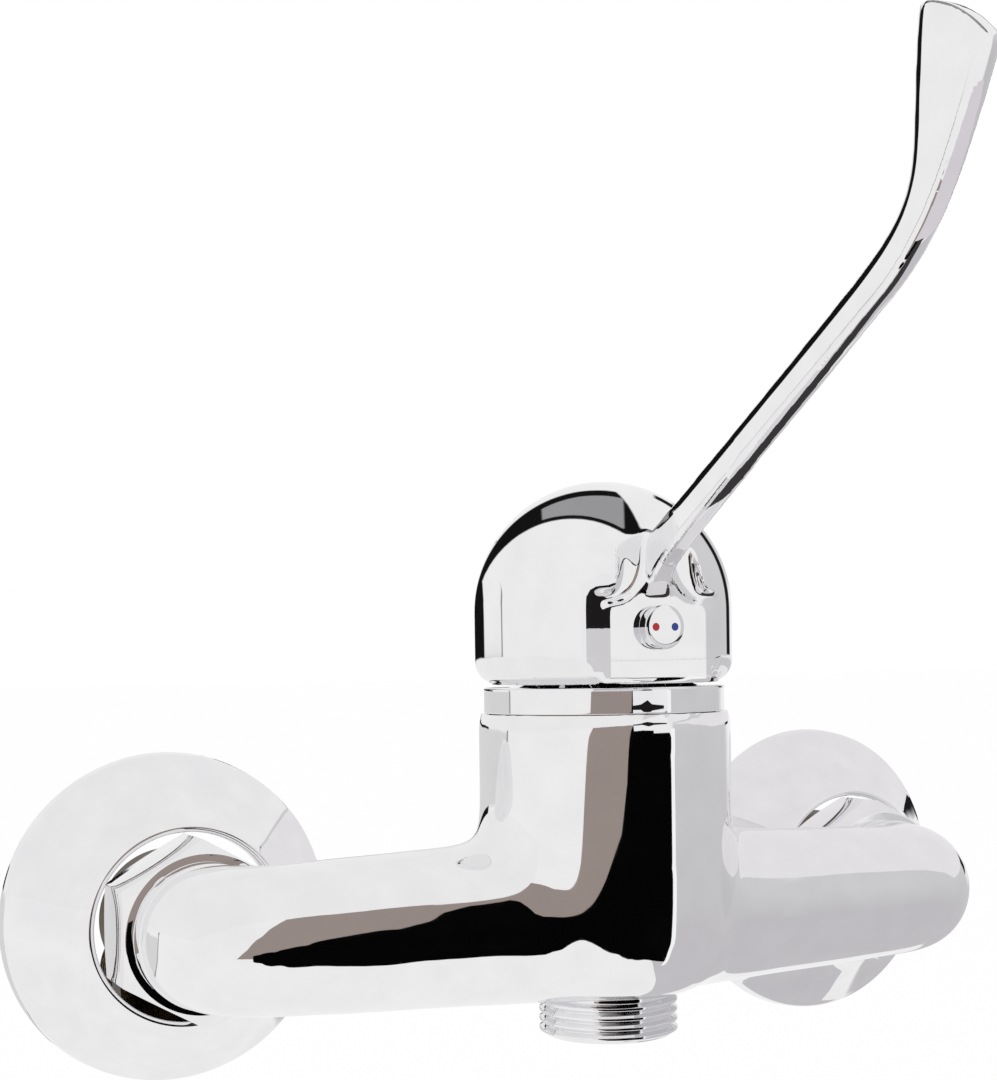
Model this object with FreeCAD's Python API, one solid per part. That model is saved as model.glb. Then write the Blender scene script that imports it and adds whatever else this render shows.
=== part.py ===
import FreeCAD, Part
import math
import os

from FreeCAD import Vector

# Wall-mounted single-lever shower mixer, in millimetres.
# The origin is the point on the wall midway between the two inlets. The hot inlet is at -X,
# the user stands at -Y and +Z is up.

# Inlets and their rosettes
INLET_SPACING = 150.0
WALL_OFFSET = 12.0          # how far each wall port lies below its union nut
INLET_BORE = 7.0
WALL_THREAD_RADIUS = 10.4775
WALL_THREAD_LENGTH = 14.0
NUT_THREAD_RADIUS = 13.2205
THREAD_PITCH = 1.814
THREAD_DEPTH = 1.1
CREST_LAND = 0.5
THREAD_CLEARANCE = 0.08
NUT_ACROSS_FLATS = 30.0
NUT_LENGTH = 16.0
NUT_WEB = 3.0
NUT_CHAMFER = 1.4
NUT_FACE_EDGE = 0.3         # how far the turned end faces stay inside the flats
NUT_TURN = 30.0             # turns the nut so that a corner points straight up
ROSETTE_RADIUS = 32.0
ROSETTE_DEPTH = 18.0
ROSETTE_RIM = 3.4
ROSETTE_WALL = 1.0
ROSETTE_NUT_GAP = 0.3
UNION_BODY_RADIUS = 13.5
UNION_BODY_BACK = 2.0
UNION_SHOULDER_RADIUS = 11.2
UNION_SHOULDER_FRONT = 9.0

# Body casting
AXIS_FROM_WALL = 42.5       # distance of the arms and the column from the wall
COLUMN_RADIUS = 23.1
COLUMN_TOP = 38.7
COLUMN_FOOT_RADIUS = 14.6
COLUMN_BOTTOM = -13.9
COLUMN_ROUND_TOP = -2.0
ARM_ROOT_RADIUS = 14.8
ARM_ROOT_X = 15.0
ARM_END_RADIUS = 12.6
BEND_RADIUS = 8.0
ARM_FACE = 29.5             # distance of the arm's end face from the wall
COLLAR_RADIUS = 13.3
COLLAR_LENGTH = 3.6
ARM_FILLET = 9.0
FILLET_FLOOR = -30.0        # the column is drawn down to here while the blends are made
WATERWAY_RADIUS = 6.0
WATERWAY_END_X = 5.5
NIPPLE_THREAD_RADIUS = 10.5
NIPPLE_DEPTH = 7.0
NIPPLE_NECK_RADIUS = 9.9
NIPPLE_FLANGE_RADIUS = 12.6
NIPPLE_FLANGE = 2.5
NIPPLE_BORE = 6.5
WASHER_THICKNESS = 2.0
SCREW_CLEARANCE = 0.05
RUNNING_CLEARANCE = 0.1

# Outlet
OUTLET_RADIUS = 13.2205
OUTLET_BOTTOM = -22.6
OUTLET_SOCKET_RADIUS = 11.0
OUTLET_SOCKET_DEPTH = 6.0
OUTLET_BORE = 8.0
OUTLET_NECK = 1.2
OUTLET_NECK_RADIUS = 12.0

# Cartridge, from its seat upwards
CHAMBER_RADIUS = 17.5
SEAT_Z = 9.0
BASE_HEIGHT = 4.0
FIXED_DISC = 3.5
MOVING_DISC = 3.5
CARRIER = 4.5
ROTOR_FLANGE = 2.5
HOUSING_WALL = 1.3
HOUSING_TOP = 1.5
LAYER_GAP = 0.3
INLET_PORT = (6.6, -3.4)
INLET_PORT_RADIUS = 2.3
OUTLET_PORT_Y = 4.2
OUTLET_PORT_RADIUS = 3.2
SEAL_WIDTH = 1.2
SEAL_HEIGHT = 1.0
MOVING_DISC_RADIUS = 12.0
MIX_POCKET_RADIUS = 9.6
MIX_POCKET_Y = 4.6
MIX_POCKET_EDGE_Y = -0.3
MIX_POCKET_DEPTH = 1.8
ROTOR_NECK_RADIUS = 11.8
ROTOR_TOP = 46.5
CARTRIDGE_COLLAR_RADIUS = 13.5
CARTRIDGE_COLLAR_TOP = 38.0
CLAMP_RADIUS = 18.75
CLAMP_TOP = 38.9
CLAMP_HEX = 32.0
CLAMP_HEX_HEIGHT = 3.4

# Spindle and the handle's hinge
PIVOT_Y = 4.0               # behind the column's axis
PIVOT_Z = 43.0
LIFT_ANGLE = 20.0
PIN_RADIUS = 1.5
PIN_LENGTH = 20.0
STEM_WIDTH = 8.0
STEM_TOP = 66.0
TONGUE_RADIUS = 2.4
TONGUE_WIDTH = 7.0
TONGUE_NECK = 4.0
STEM_SQUARE_BOTTOM = 36.0
STEM_SLOT_CLEARANCE = 0.15

# Trim ring
RING_STEP = 0.2             # how far the ring stands inside the column's side
RING_TOP = 43.6
RING_WALL = 1.5
RING_TOP_WALL = 1.0
RING_GAP = 0.1
RING_CROWN_RADIUS = 18.2
RING_CROWN_TOP = 45.4
RING_EDGE = 0.5

# Handle
DOME_OVERHANG = 1.4         # how far the dome stands outside the column's side
DOME_CENTRE_Z = 58.0
DOME_WALL = 3.6
SKIRT_BOTTOM = 44.25
SKIRT_ROUND = 4.3
RELIEF_START_Z = 44.1
FLAT_SETBACK = 4.1          # how far the flat on the dome's front lies inside its side
FLAT_WALL = 2.8
BOSS_PROUD = 0.8            # how far the plate with the button stands out of the flat
BOSS_HALF_WIDTH = 9.5
BOSS_SHOULDER = 2.5         # the level stretch at the top corners of the plate
BOSS_SHOULDER_Z = 58.6
BOSS_CORNER = 1.0
NECK_HALF_WIDTH = 2.2
NECK_Z = 65.0
BORDER = 2.4                # the flat's margin around the top of the plate
SOCKET_BOTTOM = 50.0
SOCKET_WALL = 3.0
LEVER_ROOT_THICKNESS = 4.4
LEVER_TIP_THICKNESS = 3.2
LEVER_ROUND = 0.9
BUTTON_Z = 54.4
BUTTON_RADIUS = 4.0
BUTTON_PROUD = 2.5
BUTTON_EDGE = 0.35
BUTTON_PEG_RADIUS = 2.4
BUTTON_PEG_LENGTH = 5.5
DOT_RADIUS = 0.75
DOT_SPACING = 3.9
DOT_DEPTH = 0.4
GRUB_RADIUS = 2.5
GRUB_LENGTH = 8.0
GRUB_SOCKET = 1.2

# The lever's side outline, as (distance in front of the column's axis, height)
LEVER_BACK_START = (12.0, 67.0)
LEVER_BACK_BEND = (79.5, 103.3)
LEVER_BACK_ARC = (91.4, 111.0)
LEVER_BACK_UP = (95.3, 121.5)
LEVER_TOP_BACK = (96.9, 140.6)
LEVER_TOP_MIDDLE = (105.6, 137.7)
LEVER_TOP_FRONT = (111.3, 133.1)
LEVER_CORNER = (112.4, 131.2)
LEVER_FRONT_TOP = (111.8, 129.2)
LEVER_FRONT_UP = (104.0, 115.6)
LEVER_FRONT_ARC = (99.6, 109.6)
LEVER_FRONT_BEND = (93.0, 103.7)
LEVER_FRONT_START = (26.5, 66.8)
LEVER_ROOT_DROP = 6.0       # how far the root runs on downwards inside the dome
CUT_MARGIN = 10.0           # how far cutting shapes reach past what they cut

COLUMN_AXIS = Vector(0, -AXIS_FROM_WALL, 0)
X_DIRECTION = Vector(1, 0, 0)
Y_DIRECTION = Vector(0, 1, 0)
Z_DIRECTION = Vector(0, 0, 1)
NUT_FRONT = ARM_FACE - RUNNING_CLEARANCE * 3
NUT_BACK = NUT_FRONT - NUT_LENGTH
FLANGE_FRONT = NUT_FRONT - NUT_WEB - RUNNING_CLEARANCE
WASHER_FRONT = FLANGE_FRONT - NIPPLE_FLANGE
UNION_FACE = WASHER_FRONT - WASHER_THICKNESS
BASE_TOP = SEAT_Z + BASE_HEIGHT
FIXED_TOP = BASE_TOP + FIXED_DISC
MOVING_TOP = FIXED_TOP + MOVING_DISC
CARRIER_TOP = MOVING_TOP + CARRIER
FLANGE_BOTTOM = CARRIER_TOP + LAYER_GAP
FLANGE_TOP = FLANGE_BOTTOM + ROTOR_FLANGE
HOUSING_LID = FLANGE_TOP + LAYER_GAP
SHOULDER_Z = HOUSING_LID + HOUSING_TOP
HOUSING_RADIUS = CHAMBER_RADIUS - RUNNING_CLEARANCE
HOUSING_INNER = HOUSING_RADIUS - HOUSING_WALL
TONGUE_Z = MOVING_TOP + 0.5 + TONGUE_RADIUS
STROKE = (PIVOT_Z - TONGUE_Z) * math.sin(math.radians(LIFT_ANGLE))
RING_RADIUS = COLUMN_RADIUS - RING_STEP
DOME_RADIUS = COLUMN_RADIUS + DOME_OVERHANG
DOME_INNER = DOME_RADIUS - DOME_WALL
FLAT_FACE = DOME_RADIUS - FLAT_SETBACK
BOSS_FACE = FLAT_FACE + BOSS_PROUD
HALF_STEM = STEM_WIDTH / 2


def rod(start, end, radius):
    """A cylinder from one point to another."""
    return Part.makeCylinder(radius, (end - start).Length, start, end - start)


def upright(radius, bottom, top, x=0.0, y=0.0):
    """A cylinder along Z, placed from the column's axis."""
    return Part.makeCylinder(radius, top - bottom, COLUMN_AXIS + Vector(x, y, bottom), Z_DIRECTION)


def block(x_range, y_range, z_range):
    """A box whose Y range is measured from the column's axis."""
    corner = COLUMN_AXIS + Vector(x_range[0], y_range[0], z_range[0])
    return Part.makeBox(x_range[1] - x_range[0], y_range[1] - y_range[0], z_range[1] - z_range[0], corner)


def outline(points, place):
    """A closed wire. Each item is a point, or a pair (point on the arc, end of the arc)."""
    edges = []
    first = place(points[0])
    here = first
    for item in points[1:]:
        if isinstance(item[0], tuple):
            end = place(item[1])
            edges.append(Part.Arc(here, place(item[0]), end).toShape())
        else:
            end = place(item)
            if (end - here).Length > 1e-6:
                edges.append(Part.LineSegment(here, end).toShape())
        here = end
    if (here - first).Length > 1e-6:
        edges.append(Part.LineSegment(here, first).toShape())
    return Part.Wire(edges)


def turned(points):
    """A solid turned about the column's axis from (radius, height) points."""
    face = Part.Face(outline(points, lambda p: COLUMN_AXIS + Vector(p[0], 0, p[1])))
    return face.revolve(COLUMN_AXIS, Z_DIRECTION, 360)


def turned_inlet(points, x, z=0.0):
    """A solid turned about an inlet's axis from (radius, distance from the wall) points."""
    centre = Vector(x, 0, z)
    face = Part.Face(outline(points, lambda p: centre + Vector(p[0], -p[1], 0)))
    return face.revolve(centre, Y_DIRECTION, 360)


def ridges(radius, start, end, direction):
    """The outline of a thread from start to end, as (radius, station) points with flat crests."""
    count = int(abs(end - start) / THREAD_PITCH)
    root = radius - THREAD_DEPTH
    half_land = CREST_LAND / 2
    points = []
    for index in range(count):
        middle = start + direction * THREAD_PITCH * (index + 0.5)
        points.append((root, middle - direction * THREAD_PITCH / 2))
        points.append((radius, middle - direction * half_land))
        points.append((radius, middle + direction * half_land))
    points.append((root, start + direction * THREAD_PITCH * count))
    return points


def hex_prism(across_flats, start, direction, length, turn=0.0):
    corner = across_flats / math.sqrt(3)
    side = direction.cross(X_DIRECTION)
    if side.Length < 0.5:
        side = direction.cross(Y_DIRECTION)
    across = side.cross(direction)
    points = []
    for index in range(7):
        angle = math.radians(60 * index + turn)
        points.append(start + side * (corner * math.cos(angle)) + across * (corner * math.sin(angle)))
    return Part.Face(Part.makePolygon(points)).extrude(direction * length)


def arm(side):
    """One arm of the body, its elbow towards the wall and its end collar."""
    end_x = INLET_SPACING / 2
    bend_x = end_x - BEND_RADIUS
    bend_y = -AXIS_FROM_WALL + BEND_RADIUS
    start = COLUMN_AXIS + Vector(side * ARM_ROOT_X, 0, 0)
    straight = Part.makeCone(
        ARM_ROOT_RADIUS, ARM_END_RADIUS, bend_x - ARM_ROOT_X, start, Vector(side, 0, 0))
    root = rod(COLUMN_AXIS, start, ARM_ROOT_RADIUS)
    hinge = Vector(side * bend_x, bend_y, 0)
    section = Part.Face(Part.Wire(Part.makeCircle(
        ARM_END_RADIUS, hinge - Vector(0, BEND_RADIUS, 0), X_DIRECTION)))
    reach = ARM_END_RADIUS + BEND_RADIUS
    keep = Part.makeBox(2, reach, 2 * reach, hinge + Vector(-1, -reach, -reach))
    elbow = section.common(keep).Faces[0].revolve(hinge, Z_DIRECTION, side * 90)
    tail = rod(Vector(side * end_x, bend_y, 0), Vector(side * end_x, -ARM_FACE, 0), ARM_END_RADIUS)
    collar = rod(Vector(side * end_x, -ARM_FACE - COLLAR_LENGTH, 0),
                 Vector(side * end_x, -ARM_FACE, 0), COLLAR_RADIUS)
    return root.multiFuse([straight, elbow, tail, collar])


def foot_cutter():
    """Everything outside the rounded foot of the column, the arms left out."""
    swing = 0.72
    round_width = COLUMN_RADIUS - COLUMN_FOOT_RADIUS
    round_height = COLUMN_ROUND_TOP - COLUMN_BOTTOM
    middle = (COLUMN_FOOT_RADIUS + round_width * swing, COLUMN_ROUND_TOP - round_height * swing)
    beyond = COLUMN_RADIUS + ARM_FILLET + 3
    cutter = turned([
        (0, FILLET_FLOOR - 1), (beyond, FILLET_FLOOR - 1), (beyond, COLUMN_ROUND_TOP),
        (COLUMN_RADIUS, COLUMN_ROUND_TOP), (middle, (COLUMN_FOOT_RADIUS, COLUMN_BOTTOM)), (0, COLUMN_BOTTOM)])
    return cutter.cut(arm(-1)).cut(arm(1))


def body_outside():
    """The column and the arms with concave blends, then the rounded foot."""
    column = upright(COLUMN_RADIUS, FILLET_FLOOR, COLUMN_TOP)
    column.rotate(COLUMN_AXIS, Z_DIRECTION, 90)
    whole = column.multiFuse([arm(-1), arm(1)]).removeSplitter()
    return whole.makeFillet(ARM_FILLET, joint_edges(whole)).cut(foot_cutter())


def joint_edges(shape):
    """The closed edges where the arms run into the column."""
    found = []
    for edge in shape.Edges:
        box = edge.BoundBox
        near = max(abs(box.XMin), abs(box.XMax)) < COLUMN_RADIUS + 1
        if near and abs(box.XMin) > 10 and box.YLength > 5 and box.ZLength > 5:
            found.append(edge)
    return found


def body_casting():
    body = body_outside()
    end_x = INLET_SPACING / 2
    cuts = [
        upright(CHAMBER_RADIUS, SEAT_Z, COLUMN_TOP + 1),
        upright(CLAMP_RADIUS + SCREW_CLEARANCE, SHOULDER_Z, COLUMN_TOP + 1),
        upright(OUTLET_PORT_RADIUS, COLUMN_BOTTOM, SEAT_Z, 0, OUTLET_PORT_Y),
        upright(OUTLET_SOCKET_RADIUS, COLUMN_BOTTOM - 1, COLUMN_BOTTOM + OUTLET_SOCKET_DEPTH),
        upright(COLUMN_FOOT_RADIUS, FILLET_FLOOR, COLUMN_BOTTOM)]
    for side in (-1, 1):
        bend = Vector(side * end_x, -AXIS_FROM_WALL, 0)
        mouth = Vector(side * end_x, -ARM_FACE, 0)
        cuts.append(rod(COLUMN_AXIS + Vector(side * WATERWAY_END_X, 0, 0), bend, WATERWAY_RADIUS))
        cuts.append(Part.makeSphere(WATERWAY_RADIUS, bend))
        cuts.append(rod(bend, mouth + Vector(0, 1, 0), WATERWAY_RADIUS))
        cuts.append(rod(mouth - Vector(0, NIPPLE_DEPTH, 0), mouth + Vector(0, 1, 0), NIPPLE_THREAD_RADIUS))
        cuts.append(upright(INLET_PORT_RADIUS, 0, SEAT_Z, side * INLET_PORT[0], INLET_PORT[1]))
    for cut in cuts:
        body = body.cut(cut)
    return body


def inlet_nipple(x):
    """The screwed-in nipple whose flange holds the union nut."""
    shank = NIPPLE_THREAD_RADIUS - SCREW_CLEARANCE
    return turned_inlet([
        (NIPPLE_BORE, ARM_FACE + NIPPLE_DEPTH), (shank, ARM_FACE + NIPPLE_DEPTH), (shank, ARM_FACE),
        (NIPPLE_NECK_RADIUS, ARM_FACE), (NIPPLE_NECK_RADIUS, FLANGE_FRONT),
        (NIPPLE_FLANGE_RADIUS, FLANGE_FRONT), (NIPPLE_FLANGE_RADIUS, WASHER_FRONT),
        (NIPPLE_BORE, WASHER_FRONT)], x)


def union_washer(x):
    return turned_inlet([
        (NIPPLE_BORE, WASHER_FRONT), (NIPPLE_FLANGE_RADIUS, WASHER_FRONT),
        (NIPPLE_FLANGE_RADIUS, UNION_FACE), (NIPPLE_BORE, UNION_FACE)], x)


def union_nut(x):
    """A loose hexagon nut with turned chamfers at both ends."""
    blank = hex_prism(NUT_ACROSS_FLATS, Vector(x, -NUT_FRONT, 0), Y_DIRECTION, NUT_LENGTH, NUT_TURN)
    corner = NUT_ACROSS_FLATS / math.sqrt(3)
    face = NUT_ACROSS_FLATS / 2 - NUT_FACE_EDGE
    slope = NUT_CHAMFER
    envelope = turned_inlet([
        (0, NUT_FRONT), (face, NUT_FRONT), (corner, NUT_FRONT - slope),
        (corner, NUT_BACK + slope), (face, NUT_BACK), (0, NUT_BACK)], x)
    hole = NIPPLE_NECK_RADIUS + 2 * RUNNING_CLEARANCE
    bore = NUT_THREAD_RADIUS + THREAD_CLEARANCE
    inside = turned_inlet([
        (0, NUT_FRONT + 1), (hole, NUT_FRONT + 1), (hole, NUT_FRONT - NUT_WEB),
        (bore, NUT_FRONT - NUT_WEB), (bore, NUT_BACK - 1), (0, NUT_BACK - 1)], x)
    return blank.common(envelope).cut(inside)


def eccentric_union(x):
    """The offset union between the wall port and the nut."""
    back = UNION_BODY_BACK
    front_body = NUT_BACK - 1.0
    tail = [(0, UNION_FACE), (NUT_THREAD_RADIUS - THREAD_DEPTH, UNION_FACE)]
    thread = ridges(NUT_THREAD_RADIUS, UNION_FACE, front_body, -1)
    front = turned_inlet(tail + thread + [
        (NUT_THREAD_RADIUS - THREAD_DEPTH, front_body), (UNION_BODY_RADIUS, front_body),
        (UNION_BODY_RADIUS, back), (0, back)], x)
    wall_root = WALL_THREAD_RADIUS - THREAD_DEPTH
    wall = turned_inlet([(0, back), (wall_root, back)]
                        + ridges(WALL_THREAD_RADIUS, back - 0.4, -WALL_THREAD_LENGTH, -1)
                        + [(wall_root, -WALL_THREAD_LENGTH), (0, -WALL_THREAD_LENGTH)],
                        x, -WALL_OFFSET)
    shoulder = rod(Vector(x, -UNION_SHOULDER_FRONT, -WALL_OFFSET), Vector(x, -back, -WALL_OFFSET),
                   UNION_SHOULDER_RADIUS)
    middle = -(UNION_SHOULDER_FRONT + back) / 2
    bore = rod(Vector(x, -UNION_FACE - 1, 0), Vector(x, -back - 1.5, 0), INLET_BORE)
    wall_bore = rod(Vector(x, middle, -WALL_OFFSET), Vector(x, WALL_THREAD_LENGTH + 1, -WALL_OFFSET),
                    INLET_BORE)
    return front.multiFuse([shoulder, wall]).cut(bore).cut(wall_bore)


def rosette(x):
    """The domed cover over the wall port, a thin shell from its rim to the hole round the nut."""
    hole = NUT_ACROSS_FLATS / math.sqrt(3) + ROSETTE_NUT_GAP
    rim = ROSETTE_RADIUS
    depth = ROSETTE_DEPTH
    shoulder = (rim - 1.5, ROSETTE_RIM + 1.0)
    lip = (hole + 1.5, depth)
    swell = ((shoulder[0] + lip[0]) / 2 + 0.5, (shoulder[1] + lip[1]) / 2 + 1.0)
    wall = ROSETTE_WALL
    outer = [
        (rim - wall, 0), (rim, 0), (rim - 0.4, ROSETTE_RIM), ((rim - 0.75, ROSETTE_RIM + 0.75), shoulder),
        (swell, lip), ((hole + 0.45, depth - 0.45), (hole, depth - 1.5)), (hole, depth - 3.0),
        (hole + wall, depth - 3.0), (hole + wall, depth - 1.9),
        ((swell[0] - wall * 0.7, swell[1] - wall * 0.9), (shoulder[0] - wall, shoulder[1] - wall * 0.6)),
        (rim - 0.4 - wall, ROSETTE_RIM - 0.6)]
    return turned_inlet(outer, x)


def outlet_nipple():
    """The threaded spigot that takes the hose."""
    top = COLUMN_BOTTOM
    root = OUTLET_RADIUS - THREAD_DEPTH
    shank = OUTLET_SOCKET_RADIUS - SCREW_CLEARANCE
    thread_top = top - OUTLET_NECK
    return turned([
        (OUTLET_BORE, OUTLET_BOTTOM), (root, OUTLET_BOTTOM)]
        + ridges(OUTLET_RADIUS, OUTLET_BOTTOM, thread_top, 1)
        + [(root, thread_top), (OUTLET_NECK_RADIUS, thread_top), (OUTLET_NECK_RADIUS, top), (shank, top),
           (shank, top + OUTLET_SOCKET_DEPTH), (OUTLET_BORE, top + OUTLET_SOCKET_DEPTH)])


def ports():
    """The three water ports, as (x, y, radius) from the column's axis."""
    return [(-INLET_PORT[0], INLET_PORT[1], INLET_PORT_RADIUS),
            (INLET_PORT[0], INLET_PORT[1], INLET_PORT_RADIUS),
            (0, OUTLET_PORT_Y, OUTLET_PORT_RADIUS)]


def cartridge_base():
    base = upright(HOUSING_RADIUS, SEAT_Z, BASE_TOP)
    for x, y, radius in ports():
        base = base.cut(upright(radius, SEAT_Z, BASE_TOP, x, y))
        base = base.cut(upright(radius + SEAL_WIDTH, SEAT_Z, SEAT_Z + SEAL_HEIGHT, x, y))
    return base


def base_seals():
    seals = []
    for x, y, radius in ports():
        ring = upright(radius + SEAL_WIDTH, SEAT_Z, SEAT_Z + SEAL_HEIGHT, x, y)
        seals.append(ring.cut(upright(radius, SEAT_Z, SEAT_Z + SEAL_HEIGHT, x, y)))
    return Part.makeCompound(seals)


def fixed_ceramic_disc():
    disc = upright(HOUSING_INNER - RUNNING_CLEARANCE, BASE_TOP, FIXED_TOP)
    for x, y, radius in ports():
        disc = disc.cut(upright(radius, BASE_TOP, FIXED_TOP, x, y))
    return disc


def moving_ceramic_disc():
    bottom = FIXED_TOP + 0.02
    disc = upright(MOVING_DISC_RADIUS, bottom, MOVING_TOP, 0, STROKE / 2)
    pocket = upright(MIX_POCKET_RADIUS, bottom, bottom + MIX_POCKET_DEPTH, 0, MIX_POCKET_Y)
    beyond = MIX_POCKET_RADIUS * 2
    side = block((-beyond, beyond), (MIX_POCKET_EDGE_Y, beyond), (bottom, bottom + MIX_POCKET_DEPTH))
    return disc.cut(pocket.common(side))


def disc_carrier():
    carrier = upright(MOVING_DISC_RADIUS, MOVING_TOP, CARRIER_TOP, 0, STROKE / 2)
    half = TONGUE_WIDTH / 2 + STEM_SLOT_CLEARANCE
    reach = TONGUE_RADIUS + RUNNING_CLEARANCE
    slot = block((-half, half), (PIVOT_Y - reach, PIVOT_Y + reach),
                 (TONGUE_Z - TONGUE_RADIUS - 0.3, CARRIER_TOP))
    return carrier.cut(slot)


def cartridge_housing():
    return turned([
        (HOUSING_INNER, BASE_TOP), (HOUSING_RADIUS, BASE_TOP), (HOUSING_RADIUS, SHOULDER_Z),
        (CARTRIDGE_COLLAR_RADIUS, SHOULDER_Z), (CARTRIDGE_COLLAR_RADIUS, CARTRIDGE_COLLAR_TOP),
        (ROTOR_NECK_RADIUS + RUNNING_CLEARANCE, CARTRIDGE_COLLAR_TOP),
        (ROTOR_NECK_RADIUS + RUNNING_CLEARANCE, HOUSING_LID), (HOUSING_INNER, HOUSING_LID)])


def cartridge_rotor():
    """The sleeve that turns in the housing and carries the spindle's hinge pin."""
    flange = upright(HOUSING_INNER - RUNNING_CLEARANCE, FLANGE_BOTTOM, FLANGE_TOP)
    neck = upright(ROTOR_NECK_RADIUS, FLANGE_TOP, ROTOR_TOP)
    swing = math.sin(math.radians(LIFT_ANGLE))
    front = PIVOT_Y - HALF_STEM - (PIVOT_Z - STEM_SQUARE_BOTTOM) * swing - 1.2
    deep_front = PIVOT_Y - STROKE - TONGUE_RADIUS - 0.4
    back = PIVOT_Y + HALF_STEM + (ROTOR_TOP - PIVOT_Z) * swing + 0.4
    half = HALF_STEM + STEM_SLOT_CLEARANCE
    slot = block((-half, half), (min(front, deep_front), back), (FLANGE_BOTTOM, ROTOR_TOP))
    return flange.fuse(neck).cut(slot).cut(hinge_pin())


def hinge_pin():
    centre = COLUMN_AXIS + Vector(0, PIVOT_Y, PIVOT_Z)
    reach = Vector(PIN_LENGTH / 2, 0, 0)
    return rod(centre - reach, centre + reach, PIN_RADIUS)


def spindle():
    """The square stem, with a rounded tongue below the pin that pushes the disc carrier."""
    stem = block((-HALF_STEM, HALF_STEM), (PIVOT_Y - HALF_STEM, PIVOT_Y + HALF_STEM),
                 (STEM_SQUARE_BOTTOM, STEM_TOP))
    half = TONGUE_WIDTH / 2
    neck = block((-half, half), (PIVOT_Y - TONGUE_NECK / 2, PIVOT_Y + TONGUE_NECK / 2),
                 (TONGUE_Z, STEM_SQUARE_BOTTOM))
    low = COLUMN_AXIS + Vector(0, PIVOT_Y, TONGUE_Z)
    tip = rod(low - Vector(half, 0, 0), low + Vector(half, 0, 0), TONGUE_RADIUS)
    centre = COLUMN_AXIS + Vector(0, PIVOT_Y, PIVOT_Z)
    across = Vector(STEM_WIDTH, 0, 0)
    hole = rod(centre - across, centre + across, PIN_RADIUS + SCREW_CLEARANCE)
    return stem.multiFuse([neck, tip]).cut(hole)


def clamp_nut():
    hole = CARTRIDGE_COLLAR_RADIUS + 4 * RUNNING_CLEARANCE
    ring = upright(CLAMP_RADIUS, SHOULDER_Z, CLAMP_TOP)
    top = hex_prism(CLAMP_HEX, COLUMN_AXIS + Vector(0, 0, CLAMP_TOP), Z_DIRECTION, CLAMP_HEX_HEIGHT)
    return ring.fuse(top).cut(upright(hole, SHOULDER_Z, CLAMP_TOP + CLAMP_HEX_HEIGHT))


def trim_ring():
    """The ring under the handle, with a crown that closes the gap round the cartridge."""
    bottom = COLUMN_TOP + RING_GAP
    inner = RING_RADIUS - RING_WALL
    hole = ROTOR_NECK_RADIUS + 4 * RUNNING_CLEARANCE
    edge = RING_EDGE
    round_middle = (RING_RADIUS - edge * 0.3, RING_TOP - edge * 0.3)
    return turned([
        (inner, bottom), (RING_RADIUS, bottom), (RING_RADIUS, RING_TOP - edge),
        (round_middle, (RING_RADIUS - edge, RING_TOP)), (RING_CROWN_RADIUS, RING_TOP),
        (hole + 1, RING_CROWN_TOP), (hole, RING_CROWN_TOP), (hole, RING_CROWN_TOP - RING_TOP_WALL),
        (RING_CROWN_RADIUS, RING_TOP - RING_TOP_WALL), (inner, RING_TOP - RING_TOP_WALL)])


def dome(inside):
    """A skirt with a rounded lower edge under a half sphere, as a shell or filled."""
    edge_centre = DOME_RADIUS - SKIRT_ROUND
    edge_z = SKIRT_BOTTOM + SKIRT_ROUND
    slant = SKIRT_ROUND * math.sqrt(0.5)
    foot = (DOME_INNER, edge_z - math.sqrt(SKIRT_ROUND ** 2 - (DOME_INNER - edge_centre) ** 2))
    half = math.sqrt(0.5)
    top = DOME_CENTRE_Z
    outer = [
        foot, ((edge_centre + slant, edge_z - slant), (DOME_RADIUS, edge_z)), (DOME_RADIUS, top),
        ((DOME_RADIUS * half, top + DOME_RADIUS * half), (0, top + DOME_RADIUS))]
    if inside == "filled":
        return turned(outer + [(0, foot[1])])
    return turned(outer + [
        (0, top + DOME_INNER), ((DOME_INNER * half, top + DOME_INNER * half), (DOME_INNER, top))])


def neck_curve(half_width, level_end, shoulder, neck_z):
    """The hollow curve from the end of a shoulder up to the neck."""
    middle = (half_width + 0.28 * (level_end - half_width), shoulder + 0.28 * (neck_z - shoulder))
    return [(level_end, shoulder), (middle, (half_width, neck_z))]


def front_plate(side, top, back, front):
    """A plate that is alike on both sides of the middle, between two distances from the axis."""
    bottom = side[0][1]
    place = lambda p: COLUMN_AXIS + Vector(p[0], -front, p[1])
    face = Part.Face(outline([(0, bottom)] + side + [(0, top)], place))
    half = face.extrude(Vector(0, front - back, 0))
    return half.fuse(half.mirror(COLUMN_AXIS, X_DIRECTION)).removeSplitter()


def front_boss():
    """The plate that carries the button, with square shoulders and a neck under the lever's root."""
    wide = BOSS_HALF_WIDTH
    shoulder = BOSS_SHOULDER_Z
    corner = BOSS_CORNER
    side = [(wide, SKIRT_BOTTOM), (wide, shoulder - corner),
            ((wide - corner * 0.3, shoulder - corner * 0.3), (wide - corner, shoulder))]
    side += neck_curve(NECK_HALF_WIDTH, wide - BOSS_SHOULDER, shoulder, NECK_Z)
    side.append((NECK_HALF_WIDTH, NECK_Z + BORDER))
    return front_plate(side, NECK_Z + BORDER, FLAT_FACE - FLAT_WALL, BOSS_FACE)


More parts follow.
